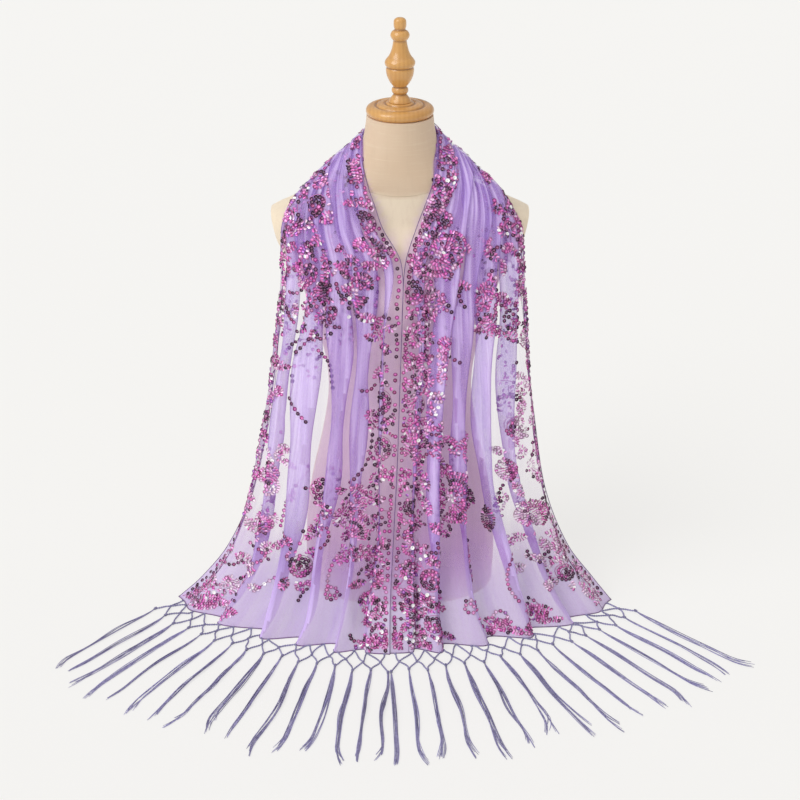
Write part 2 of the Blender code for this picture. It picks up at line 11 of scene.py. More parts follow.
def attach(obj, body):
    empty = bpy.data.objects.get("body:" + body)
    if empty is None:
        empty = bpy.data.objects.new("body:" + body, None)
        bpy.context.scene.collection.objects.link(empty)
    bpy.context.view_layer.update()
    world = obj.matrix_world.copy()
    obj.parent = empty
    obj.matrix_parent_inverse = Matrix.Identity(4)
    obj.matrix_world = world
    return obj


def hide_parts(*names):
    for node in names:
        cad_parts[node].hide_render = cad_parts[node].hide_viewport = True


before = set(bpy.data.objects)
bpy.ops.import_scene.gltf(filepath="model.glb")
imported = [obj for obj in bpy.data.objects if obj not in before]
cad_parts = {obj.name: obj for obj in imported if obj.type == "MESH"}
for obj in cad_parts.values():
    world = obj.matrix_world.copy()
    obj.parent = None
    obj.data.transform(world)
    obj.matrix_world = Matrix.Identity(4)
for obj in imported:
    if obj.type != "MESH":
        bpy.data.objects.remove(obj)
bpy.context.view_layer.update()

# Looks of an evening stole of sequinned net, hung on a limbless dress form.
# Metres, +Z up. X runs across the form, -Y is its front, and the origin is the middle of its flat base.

BODY = "root"
chance = np.random.default_rng(26)

# Studio

CAMERA_LENS = 65.9465  # mm, on a sensor as wide as the next value
CAMERA_SENSOR = 36
CAMERA_PLACE = (0.0, -2.1, 1.41176)
CAMERA_DIP = math.radians(27.26874)
SKY = (1.0, 0.99, 0.98, 1)
SKY_STRENGTH = 0.55
# Sun lamps: name, strength, and then angle and turn in degrees
LAMPS = (("key", 1.50, 40, (48, 0, -55)), ("top", 0.30, 60, (8, 0, 0)))
FLOOR_REACH = 30.0
FLOOR_DROP = 0.0004  # below the hems
FLOOR_COLOUR = (0.250, 0.248, 0.2425)
FLOOR_GLOW = 2.62

# The dress form: height, half the width, depth of its front and of its back, and squareness

FORM_RINGS = (
    (0.0, 0.156, 0.1, 0.111, 2.3), (0.06, 0.158, 0.104, 0.115, 2.3), (0.13, 0.154, 0.103, 0.116, 2.25),
    (0.2, 0.143, 0.097, 0.107, 2.2), (0.27, 0.127, 0.089, 0.093, 2.15), (0.33, 0.1165, 0.082, 0.082, 2.1),
    (0.37, 0.114, 0.081, 0.08, 2.1), (0.42, 0.119, 0.088, 0.083, 2.15), (0.47, 0.131, 0.102, 0.088, 2.2),
    (0.515, 0.144, 0.113, 0.09, 2.25), (0.55, 0.155, 0.111, 0.09, 2.3), (0.58, 0.169, 0.103, 0.088, 2.3),
    (0.605, 0.186, 0.092, 0.084, 2.3), (0.628, 0.198, 0.08, 0.079, 2.3), (0.645, 0.203, 0.07, 0.074, 2.25),
    (0.656, 0.196, 0.064, 0.07, 2.2), (0.667, 0.174, 0.06, 0.067, 2.1), (0.68, 0.146, 0.056, 0.062, 2.0),
    (0.694, 0.115, 0.053, 0.058, 2.0), (0.711, 0.088, 0.051, 0.055, 2.0),
    (0.731, 0.069, 0.049, 0.052, 2.0), (0.755, 0.0575, 0.049, 0.049, 2.0),
    (0.78, 0.0515, 0.049, 0.049, 2.0), (0.8, 0.049, 0.049, 0.049, 2.0),
)
FORM_SIDES = 96
FORM_RING_STEP = 0.008
ARM_PLATE_REACH = 0.1925
ARM_PLATE_HEIGHT = 0.648
ARM_PLATE_TILT = math.radians(12)
ARM_PLATE_FOOT = 0.560
ARM_PLATE_RIM = 0.0025
ARM_PLATE_DEPTH = 0.0006  # of the plate's face below its rim
SHARP_EDGE = math.radians(50)
NECK_SEAM_FRONT = 0.692  # height of the seam between the neck and the torso, at the front
NECK_SEAM_RISE = 3.0  # how it climbs towards the sides, per metre of the distance squared
NECK_SEAM_MOST = 0.016
NECK_SEAM_RADIUS = 0.00022
VEIL_REACH = 0.25
VEIL_WAYS = (  # added to the outward direction, the ways in which the net is looked for
    (0.0, -0.5, 0.0),
    (0.4, -0.3, 0.0),
    (-0.4, -0.3, 0.0),
    (0.0, -0.3, 0.4),
    (0.0, -0.3, -0.4),
    (0.0, -1.2, 0.0),
)

# Turned wood: radii and heights of the rows, from top to bottom

CAP_FOOT = 0.8003
CAP_PROFILE = (
    (0.0, 0.019), (0.0195, 0.0186), (0.0212, 0.016), (0.0225, 0.016), (0.0245, 0.0172), (0.033, 0.0158),
    (0.035, 0.0132), (0.0366, 0.0132), (0.0385, 0.0146), (0.044, 0.0138), (0.0482, 0.0112), (0.05, 0.0072),
    (0.0492, 0.0035), (0.047, 0.001), (0.0455, 0.0), (0.0, 0.0),
)
FINIAL_FOOT = 0.8196
FINIAL_PROFILE = (
    (0.0, 0.1215), (0.0052, 0.1208), (0.0084, 0.118), (0.0092, 0.114), (0.009, 0.109), (0.008, 0.1045),
    (0.0118, 0.1015), (0.0139, 0.0965), (0.012, 0.0915), (0.01, 0.0892), (0.0103, 0.085), (0.0115, 0.079),
    (0.0135, 0.0725), (0.0165, 0.0665), (0.0205, 0.0615), (0.0222, 0.0575), (0.021, 0.053),
    (0.0192, 0.051), (0.0203, 0.0485), (0.0203, 0.044), (0.019, 0.038), (0.016, 0.031), (0.012, 0.025),
    (0.0096, 0.0222), (0.0118, 0.0195), (0.012, 0.015), (0.0098, 0.0118), (0.0115, 0.0085), (0.015, 0.004),
    (0.0165, 0.0008), (0.0165, 0.0), (0.0, 0.0),
)
LATHE_SIDES = 72
LATHE_STEP = 0.0009

# Cloth

CUT_WIDTH = 0.50  # of the net, from edge to edge
FORM_CLEARANCE = 0.0013
FORM_SEARCH = 0.050  # how far out of the unfolded stole the form is looked for
PLEAT_STACK = 0.0030  # least thickness of the pleats where they lie on the form
ROW_STEP = 0.0036  # between rows of the cloth's mesh
FOLD_FACETS = 26  # columns of the cloth's mesh for each fold
MOST_LEAN = 1.35  # of a pleat, in spaces between two crests
OVERLOCK_RADIUS = 0.0006
HEM_RADIUS = 0.0009  # of the overlocked edge at the hems
HEM_LIFT = 0.0010
GUIDE_LINES = (0.030, CUT_WIDTH - 0.032)  # stitched, across from the inner edge
GUIDE_RADIUS = 0.0004
EDGE_ROOM = 0.05  # how far past the two edges the unfolded section is known, as a share of its width
SECTION_PLACES = 145

# Sections across the unfolded stole: x, y and z of its inner edge, then of its outer edge, and how round
# the section bows between them
LEFT_FALL = (
    (-0.016, -0.236, 0.0, -0.371, -0.079, 0.0, 0.55), (-0.016, -0.221, 0.033, -0.33, -0.07, 0.038, 0.6),
    (-0.015, -0.203, 0.085, -0.288, -0.06, 0.09, 0.66), (-0.01, -0.178, 0.18, -0.247, -0.05, 0.18, 0.72),
    (-0.004, -0.157, 0.3, -0.219, -0.042, 0.285, 0.78), (-0.0005, -0.14, 0.42, -0.202, -0.036, 0.38, 0.84),
    (0.003, -0.128, 0.53, -0.188, -0.034, 0.475, 0.88), (0.0015, -0.11, 0.61, -0.18, -0.04, 0.55, 0.9),
    (-0.025, -0.088, 0.655, -0.178, -0.044, 0.6, 0.88),
    (-0.037, -0.068, 0.683, -0.174, -0.042, 0.64, 0.84),
    (-0.048, -0.046, 0.709, -0.163, -0.03, 0.671, 0.8), (-0.056, -0.021, 0.74, -0.141, -0.008, 0.69, 0.6),
    (-0.0565, 0.003, 0.764, -0.12, 0.014, 0.698, 0.35),
)
NAPE = (
    (-0.049, 0.028, 0.773, -0.094, 0.037, 0.692, 0.2), (-0.03, 0.046, 0.777, -0.055, 0.056, 0.681, 0.1),
    (0.0, 0.055, 0.779, 0.0, 0.066, 0.672, 0.0), (0.03, 0.046, 0.779, 0.055, 0.056, 0.681, 0.1),
    (0.049, 0.028, 0.777, 0.094, 0.037, 0.692, 0.2),
)
RIGHT_FALL = (
    (0.0565, 0.003, 0.768, 0.12, 0.014, 0.698, 0.35), (0.0565, -0.019, 0.744, 0.141, -0.008, 0.691, 0.6),
    (0.05, -0.043, 0.714, 0.162, -0.03, 0.673, 0.8), (0.038, -0.064, 0.686, 0.177, -0.042, 0.641, 0.84),
    (0.024, -0.084, 0.655, 0.183, -0.044, 0.6, 0.88), (0.008, -0.107, 0.608, 0.188, -0.04, 0.55, 0.9),
    (0.0035, -0.1255, 0.53, 0.195, -0.034, 0.475, 0.88), (0.0, -0.138, 0.42, 0.208, -0.036, 0.38, 0.84),
    (-0.004, -0.155, 0.3, 0.222, -0.042, 0.285, 0.78), (-0.01, -0.176, 0.18, 0.243, -0.05, 0.18, 0.72),
    (-0.015, -0.201, 0.085, 0.281, -0.06, 0.09, 0.66), (-0.016, -0.219, 0.033, 0.32, -0.071, 0.038, 0.6),
    (-0.016, -0.234, 0.0, 0.353, -0.088, 0.0, 0.55),
)
STOLE = LEFT_FALL + NAPE + RIGHT_FALL
STRETCHES = (  # place, how it is held, and the label, the hem's row and the side of its fringe
    ("fall_left", "hung", ("left", 0, -1)),
    ("nape", "gathered", None),
    ("fall_right", "hung", ("right", -1, 1)),
)
LEFT_SEAM = len(LEFT_FALL) - 1
RIGHT_SEAM = len(LEFT_FALL) + len(NAPE)
LAST_ROW = len(STOLE) - 1

# Where the crests of the six folds lie between the inner edge (0) and the outer edge (1), and last how deep
# the folds are. The first value is the row where that holds, counted in sections of STOLE.
FOLD_DEPTHS = (0.15, 1.10, 0.95, 1.25, 0.90, 0.70)
EDGE_SHARE = 0.35  # of a fold's height, at which the two edges lie
FOLD_WANDER = 0.009  # of the crests along the stole, as a share of its width
FULLNESS_CHANGE = 0.28  # along the stole, as a share
FOLDS = (
    (0.0, 0.065, 0.165, 0.315, 0.45, 0.64, 0.845, 0.0105),  # left hem
    (2.6, 0.06, 0.17, 0.325, 0.495, 0.69, 0.87, 0.015),  # left shin
    (4.5, 0.07, 0.19, 0.31, 0.52, 0.74, 0.91, 0.012),  # left waist
    (7.4, 0.08, 0.2, 0.355, 0.505, 0.69, 0.87, 0.006),  # left chest
    (LEFT_SEAM, 0.09, 0.26, 0.42, 0.58, 0.74, 0.9, 0.0032),
    (RIGHT_SEAM, 0.09, 0.26, 0.42, 0.58, 0.74, 0.9, 0.0032),
    (RIGHT_SEAM + 4.6, 0.09, 0.23, 0.38, 0.515, 0.69, 0.87, 0.006),  # right chest
    (RIGHT_SEAM + 7.5, 0.085, 0.182, 0.292, 0.425, 0.59, 0.8, 0.012),  # right waist
    (RIGHT_SEAM + 9.4, 0.07, 0.17, 0.31, 0.495, 0.67, 0.845, 0.015),  # right shin
    (LAST_ROW, 0.065, 0.16, 0.3, 0.477, 0.68, 0.845, 0.0105),  # right hem
)
# How much of the row's spare width each of the six folds takes, after the row as above
FULLNESS = (
    (0.0, 0.2, 1.1, 0.9, 1.1, 1.0, 0.8),
    (2.6, 0.1, 0.9, 0.5, 1.1, 0.8, 0.5),
    (4.5, 0.05, 0.9, 0.7, 1.0, 0.7, 0.4),
    (7.4, 0.1, 1.2, 1.0, 1.3, 0.9, 0.5),
    (LEFT_SEAM, 0.8, 1.0, 1.1, 1.0, 1.1, 0.9),
    (RIGHT_SEAM, 0.8, 1.1, 1.0, 1.1, 1.0, 0.9),
    (RIGHT_SEAM + 4.6, 0.4, 1.2, 1.1, 1.1, 1.3, 0.8),
    (RIGHT_SEAM + 7.5, 0.3, 1.4, 1.3, 0.9, 1.4, 0.7),
    (RIGHT_SEAM + 9.4, 0.3, 1.3, 1.2, 1.0, 1.1, 0.5),
    (LAST_ROW, 0.3, 1.1, 0.9, 1.1, 1.0, 0.8),
)
# Soft creases, from one place on the flat cloth to another, each in metres across from the inner edge and
# along from the left hem; then depth and width. A depth above 0 is a ridge.
CREASES = (
    (0.06, 0.01, 0.115, 0.21, 0.0022, 0.012), (0.185, 0.0, 0.165, 0.12, -0.002, 0.009),
    (0.26, 0.015, 0.225, 0.29, 0.0026, 0.014), (0.33, 0.0, 0.32, 0.085, 0.002, 0.008),
    (0.405, 0.02, 0.365, 0.18, -0.0028, 0.015), (0.44, 0.33, 0.42, 0.52, 0.0014, 0.007),
    (0.12, 0.42, 0.085, 0.6, 0.0012, 0.006), (0.3, 0.56, 0.35, 0.72, -0.0012, 0.006),
    (0.21, 0.6, 0.16, 0.78, 0.001, 0.005), (0.13, 0.84, 0.17, 1.01, 0.001, 0.006),
    (0.33, 0.86, 0.29, 0.99, -0.001, 0.007), (0.24, 1.08, 0.3, 1.25, -0.0012, 0.006),
    (0.11, 1.13, 0.15, 1.33, 0.0013, 0.007), (0.43, 1.29, 0.445, 1.48, 0.0015, 0.008),
    (0.075, 1.64, 0.055, 1.84, 0.0024, 0.013), (0.17, 1.7, 0.205, 1.855, -0.0022, 0.01),
    (0.29, 1.56, 0.27, 1.83, 0.0027, 0.015), (0.35, 1.76, 0.325, 1.85, 0.0018, 0.008),
    (0.42, 1.65, 0.385, 1.845, -0.0025, 0.014),
)

# Fringe

TASSELS = 15
FIRST_KNOTS = 0.025
SECOND_KNOTS = 0.047
CREST_PULL = 0.6  # how strongly a leg is drawn to a fold of the hem that stands out
TASSEL_LENGTH = 0.218
SWEEP_AT_CENTRE = math.radians(3)  # how far the fringe turns outwards
SWEEP_AT_CORNER = {-1: math.radians(42), 1: math.radians(46)}  # on the left and on the right
YARN_RADIUS = 0.00090
PLY_PITCH = 0.0075  # of the twist in a leg's two plies
TASSEL_THREADS = 11
TASSEL_STEPS = 22
THREAD_RADIUS = 0.00072
FLOOR_GAP = 0.0003

# Sequins

SEQUIN_RADIUS = 0.0033
COVERED_BARE = 0.8  # share of the sequins and stitches left off where a fold lies over them
STITCH_RADIUS = 0.0006
SEQUIN_LIFT = 0.0006  # of their middles off the net, and of the stitches
STITCH_LIFT = 0.0003
EDGE_BARE = 0.004  # without sequins, at the edges and at the hems
HEM_BARE = 0.005
SEQUIN_ROOM = 0.0058  # least distance between two loose sequins
ROW_ROOM = 0.0034  # and between two in a tight row
TIGHT_PITCH = 0.0060  # rows are tight below it
SEAM_ROOM = 0.003  # without stitches, at the edges and the seams
ROSE_CLEAR = 0.006  # bare net round a rose
ROSE_WIND = 0.0062  # between the turns of a rose
FILLED_PITCH = 0.0054  # between the rows of a filled leaf or petal
LEAF_PITCH = 0.0044  # along those rows
NARROW_SHARE = 0.8  # share of the sequins of a tight row that lean on the next and look narrow
NARROW_WIDTH = 0.66
CRESCENT_SHADE = 0.60  # painted shade and painted highlight: how much darker and lighter a leaning sequin is painted on its two sides
CRESCENT_LIGHT = 0.22
EDGE_ROWS = ((0.0070, 0.0064, "red"), (CUT_WIDTH - 0.0080, 0.0105, "dark"))  # across, pitch, blend
BORDER_PITCH = 0.105
BORDER_MIDDLE = 0.024  # from the outer edge
Cup = namedtuple("Cup", "sides rings")
# Rings are listed from the rim inwards: radius and height as shares of the sequin's radius, then the share
# of its tint, below 1 towards the rim as painted shade, and how much light is mixed in: a painted highlight,
# which also stands for the pale net seen through the middle.
ROUND_RINGS = (
    (1.0, 0.22, 0.45, 0.0), (0.6, 0.07, 0.4, 0.0), (0.48, 0.04, 1.2, 0.24), (0.12, 0.0, 1.2, 0.34),
)
NARROW_RINGS = ((1.0, 0.14, 0.75, 0.0), (0.55, 0.06, 1.0, 0.06), (0.12, 0.0, 1.15, 0.16))
ROUND_CUP = Cup(8, ROUND_RINGS)
NARROW_CUP = Cup(6, NARROW_RINGS)
# The pale light mixed into the sequins' middles: a painted highlight
SEQUIN_PAINTED_HIGHLIGHT = np.array((0.95, 0.60, 0.86))
TINTS = {
    "black plum": (0.040, 0.004, 0.034),
    "plum": (0.130, 0.012, 0.100),
    "wine": (0.290, 0.025, 0.150),
    "magenta": (0.550, 0.055, 0.370),
    "rose": (0.730, 0.130, 0.470),
    "pink": (0.900, 0.310, 0.680),
    "violet": (0.430, 0.120, 0.580),
    "pale": (0.960, 0.560, 0.850),
    "blush": (0.980, 0.700, 0.900),
    # A painted glint: a sequin painted white, standing in for one that catches the light
    "painted glint": (1.000, 0.980, 1.000),
}
BLENDS = {  # how often each tint comes up; the painted glint is a sequin painted white, a glint of light
    "dark": {"black plum": 6, "plum": 4, "wine": 2, "magenta": 1.5, "rose": 1, "pink": 0.7},
    "pink": {"plum": 1.5, "magenta": 4, "rose": 6, "pink": 5.5, "violet": 1, "pale": 2, "painted glint": 0.2},
    "red": {"black plum": 1, "plum": 2.5, "wine": 2.5, "magenta": 5.5, "rose": 5, "pink": 2.5},
    "mixed": {
        "black plum": 2, "plum": 2, "wine": 1.5, "magenta": 4.5, "rose": 5, "pink": 5,
        "violet": 1.5, "pale": 2, "painted glint": 0.7,
    },
    "soft": {"plum": 0.5, "violet": 2.5, "magenta": 2, "rose": 4, "pink": 6, "pale": 5, "painted glint": 0.4},
    "light": {"plum": 0.25, "magenta": 0.6, "rose": 2, "pink": 6, "pale": 7, "blush": 8, "painted glint": 0.5},
    "mostly painted glints": {"painted glint": 6, "pale": 2, "pink": 1},
    "painted glints only": {"painted glint": 1},
}
# What is sewn on the flat cloth: metres across from the inner edge and along from the left hem, the size
# in metres, the turn in degrees from outwards towards the right hem, and the blend.
MOTIFS = (
    # left fall, from its hem up
    ("sprig", 0.385, 0.08, 0.055, 70, "light"), ("leaf", 0.47, 0.014, 0.06, 165, "pink"),
    ("leaf", 0.405, 0.02, 0.044, 172, "pink"), ("blossom", 0.445, 0.04, 0.016, 10, "pink"),
    ("scroll", 0.148, 0.105, 0.014, 200, "pink"), ("stem", 0.15, 0.16, 0.07, 265, "soft"),
    ("rose", 0.247, 0.138, 0.019, 80, "pink"), ("stem", 0.3, 0.12, 0.08, 320, "soft"),
    ("peony", 0.092, 0.208, 0.034, 30, "pink"), ("leaf", 0.095, 0.225, 0.034, 80, "dark"),
    ("leaf", 0.12, 0.235, 0.03, 20, "red"), ("rose", 0.24, 0.272, 0.017, 200, "red"),
    ("leaf", 0.225, 0.24, 0.034, 100, "pink"), ("leaf", 0.18, 0.23, 0.03, 60, "dark"),
    ("petal", 0.4, 0.26, 0.036, 85, "pink"), ("petal", 0.425, 0.215, 0.034, 95, "pink"),
    ("petal", 0.375, 0.175, 0.032, 60, "pink"), ("stem", 0.33, 0.3, 0.11, 285, "pink"),
    ("stem", 0.3, 0.45, 0.08, 250, "dark"), ("rose", 0.029, 0.345, 0.019, 130, "pink"),
    ("rose", 0.031, 0.412, 0.019, 60, "red"), ("stem", 0.08, 0.3, 0.07, 110, "dark"),
    ("stem", 0.23, 0.43, 0.07, 60, "dark"), ("peony", 0.096, 0.575, 0.031, 250, "pink"),
    ("rose", 0.197, 0.54, 0.017, 90, "red"), ("leaf", 0.215, 0.51, 0.03, 200, "dark"),
    ("rose", 0.31, 0.61, 0.018, 120, "pink"), ("leaf", 0.28, 0.56, 0.036, 80, "dark"),
    ("leaf", 0.25, 0.62, 0.036, 100, "pink"), ("blossom", 0.36, 0.56, 0.016, 0, "red"),
    ("rose", 0.205, 0.714, 0.018, 60, "dark"), ("rose", 0.024, 0.68, 0.018, 100, "pink"),
    ("leaf", 0.02, 0.62, 0.036, 80, "dark"), ("petal", 0.15, 0.735, 0.034, 70, "pink"),
    ("petal", 0.015, 0.74, 0.04, 85, "pink"), ("leaf", 0.38, 0.68, 0.04, 70, "red"),
    # nape
    ("rose", 0.07, 0.86, 0.018, 100, "pink"), ("peony", 0.2, 0.9, 0.032, 40, "pink"),
    ("sprig", 0.3, 0.86, 0.06, 60, "pink"), ("rose", 0.42, 0.88, 0.018, 210, "red"),
    ("leaf", 0.1, 0.93, 0.04, 90, "dark"), ("rose", 0.12, 1.0, 0.017, 60, "pink"),
    ("peony", 0.36, 0.99, 0.031, 150, "pink"), ("sprig", 0.23, 0.99, 0.055, 100, "pink"),
    # right fall, down to its hem
    ("petal", 0.01, 1.13, 0.036, 95, "pink"), ("petal", 0.045, 1.12, 0.034, 70, "pink"),
    ("rose", 0.07, 1.165, 0.016, 70, "red"), ("peony", 0.082, 1.215, 0.034, 80, "pink"),
    ("leaf", 0.305, 1.205, 0.046, 85, "dark"), ("leaf", 0.335, 1.215, 0.04, 95, "dark"),
    ("rose", 0.3, 1.29, 0.017, 30, "pink"), ("petal", 0.27, 1.3, 0.03, 50, "pink"),
    ("leaf", 0.42, 1.19, 0.04, 80, "pink"), ("stem", 0.095, 1.29, 0.11, 50, "dark"),
    ("stem", 0.105, 1.33, 0.045, 100, "dark"), ("rose", 0.015, 1.275, 0.017, 270, "red"),
    ("rose", 0.045, 1.44, 0.015, 200, "pink"), ("petal", 0.035, 1.36, 0.032, 80, "pink"),
    ("scroll", 0.045, 1.5, 0.014, 90, "dark"), ("stem", 0.3, 1.39, 0.06, 80, "soft"),
    ("peony", 0.16, 1.58, 0.04, 60, "red"), ("petal", 0.11, 1.5, 0.036, 60, "pink"),
    ("petal", 0.2, 1.5, 0.034, 120, "pink"), ("leaf", 0.23, 1.56, 0.04, 70, "dark"),
    ("leaf", 0.262, 1.6, 0.044, 90, "dark"), ("rose", 0.38, 1.48, 0.015, 0, "red"),
    ("petal", 0.36, 1.53, 0.04, 85, "light"), ("petal", 0.4, 1.545, 0.044, 85, "light"),
    ("petal", 0.385, 1.61, 0.044, 95, "light"), ("petal", 0.44, 1.62, 0.05, 80, "light"),
    ("rose", 0.462, 1.632, 0.011, 0, "dark"), ("sprig", 0.47, 1.69, 0.06, 100, "light"),
    ("rose", 0.03, 1.59, 0.016, 45, "dark"), ("rose", 0.078, 1.71, 0.019, 120, "red"),
    ("rose", 0.081, 1.787, 0.016, 300, "pink"), ("stem", 0.19, 1.66, 0.1, 80, "pink"),
    ("scroll", 0.172, 1.768, 0.014, 250, "pink"), ("scroll", 0.245, 1.8, 0.016, 40, "soft"),
    ("stem", 0.29, 1.69, 0.09, 95, "pink"), ("leaf", 0.33, 1.8, 0.034, 20, "red"),
    ("leaf", 0.36, 1.806, 0.034, 160, "red"), ("rose", 0.446, 1.762, 0.015, 60, "red"),
    ("leaf", 0.455, 1.79, 0.036, 70, "light"),
)
# Sequins painted white all over, painted glints of single sequins catching the light: across and along
FLASHES = (
    (0.03, 1.655), (0.062, 1.676), (0.022, 1.704), (0.058, 1.728), (0.104, 1.742), (0.036, 1.752),
    (0.112, 1.712), (0.05, 1.806), (0.026, 1.812), (0.115, 0.205), (0.12, 0.211), (0.13, 0.548),
    (0.052, 1.205),
)
# Beds of short rows, leaves and curls between the motifs: the corner nearest the inner edge and the left
# hem, the corner opposite, how many there are, and the blend
BEDS = (
    (0.36, 0.012, 0.485, 0.12, 26, "light"), (0.43, 0.008, 0.488, 0.05, 14, "pink"),
    (0.01, 0.01, 0.06, 0.15, 34, "mixed"), (0.055, 0.15, 0.15, 0.29, 50, "pink"),
    (0.165, 0.2, 0.245, 0.3, 29, "mixed"), (0.22, 0.09, 0.3, 0.18, 16, "mixed"),
    (0.35, 0.14, 0.48, 0.34, 41, "light"), (0.012, 0.15, 0.055, 0.56, 70, "mixed"),
    (0.08, 0.53, 0.17, 0.64, 41, "mixed"), (0.18, 0.5, 0.32, 0.64, 61, "mixed"),
    (0.22, 0.62, 0.48, 0.79, 97, "mixed"), (0.32, 0.42, 0.48, 0.62, 41, "soft"),
    (0.008, 0.6, 0.06, 0.8, 41, "pink"), (0.12, 0.69, 0.21, 0.8, 25, "pink"),
    (0.01, 0.81, 0.49, 1.04, 194, "mixed"), (0.008, 1.04, 0.06, 1.84, 306, "mixed"),
    (0.05, 1.18, 0.19, 1.28, 54, "mixed"), (0.06, 1.28, 0.1, 1.48, 22, "soft"),
    (0.3, 1.03, 0.485, 1.17, 60, "mixed"), (0.25, 1.17, 0.37, 1.33, 65, "pink"),
    (0.37, 1.08, 0.485, 1.33, 70, "mixed"), (0.4, 1.33, 0.49, 1.5, 60, "light"),
    (0.07, 1.48, 0.23, 1.64, 70, "mixed"), (0.33, 1.47, 0.49, 1.76, 64, "light"),
    (0.05, 1.64, 0.12, 1.83, 41, "mixed"), (0.19, 1.8, 0.35, 1.832, 29, "pink"),
    (0.39, 1.73, 0.49, 1.83, 20, "light"),
)


# Helpers


def unit(vectors):
    """The same directions, one unit long."""
    return vectors / np.maximum(np.linalg.norm(vectors, axis=-1, keepdims=True), 1e-12)


def ease(low, high, at):
    """0 at low, 1 at high, level at both."""
    t = np.clip((at - low) / (high - low), 0, 1)
    return t * t * (3 - 2 * t)


def full_turn(count):
    """Angles at even steps round a circle."""
    return math.tau * np.arange(count) / count


def reached(path):
    """How far along a path each of its points lies."""
    return np.concatenate([[0], np.cumsum(np.linalg.norm(np.diff(path, axis=0), axis=1))])


def divided(places, step, least):
    """Rising places with others at even steps put between them, so many at least."""
    found = []
    for low, high in zip(places, places[1:]):
        count = max(least, math.ceil((high - low) / step))
        found += [low + (high - low) * i / count for i in range(count)]
    return np.array([*found, places[-1]])


def smooth_between(knots, values, at):
    """The smooth curve through (knot, value) pairs, at each of an array of places. Values may be rows."""
    knots, values, at = np.asarray(knots, float), np.asarray(values, float), np.asarray(at, float)
    i = np.clip(np.searchsorted(knots, at) - 1, 0, len(knots) - 2)
    every = np.arange(len(knots))
    low, high = np.maximum(every - 1, 0), np.minimum(every + 1, len(knots) - 1)
    tail = (1,) * (values.ndim - 1)
    slopes = (values[high] - values[low]) / (knots[high] - knots[low]).reshape(-1, *tail)
    span = (knots[i + 1] - knots[i]).reshape(-1, *tail)
    t = np.clip((at - knots[i]) / (knots[i + 1] - knots[i]), 0, 1).reshape(-1, *tail)
    ends = values[i] * (2 * t**3 - 3 * t**2 + 1) + values[i + 1] * (3 * t**2 - 2 * t**3)
    return ends + slopes[i] * span * (t**3 - 2 * t**2 + t) + slopes[i + 1] * span * (t**3 - t**2)


def softened(values, reach):
    """Values along an axis, averaged over so many neighbours on each side."""
    padded = np.pad(values, reach, mode="edge")
    return np.convolve(padded, np.full(2 * reach + 1, 1 / (2 * reach + 1)), mode="valid")


# Materials


class Link:
    """An output socket in a finish. Sums with numbers and other links add Math nodes."""

    def __init__(self, finish, socket):
        self.finish = finish
        self.socket = socket

    def worked(self, operation, *operands):
        return self.finish.node("Math", {"operation": operation}, dict(enumerate(operands)))

    def __add__(self, other):
        return self.worked("ADD", self, other)

    def __sub__(self, other):
        return self.worked("SUBTRACT", self, other)

    def __rsub__(self, other):
        return self.worked("SUBTRACT", other, self)

    def __mul__(self, other):
        return self.worked("MULTIPLY", self, other)

    __radd__ = __add__
    __rmul__ = __mul__

    def wave(self, pitch):
        """A cosine from -1 to 1 with this pitch."""
        return self.worked("COSINE", self * (math.tau / pitch))

    def between(self, low, high, to_low=0.0, to_high=1.0):
        """Maps low to to_low and high to to_high, and stops there."""
        sockets = {"Value": self, "From Min": low, "From Max": high, "To Min": to_low, "To Max": to_high}
        return self.finish.node("MapRange", {"interpolation_type": "SMOOTHSTEP"}, sockets)


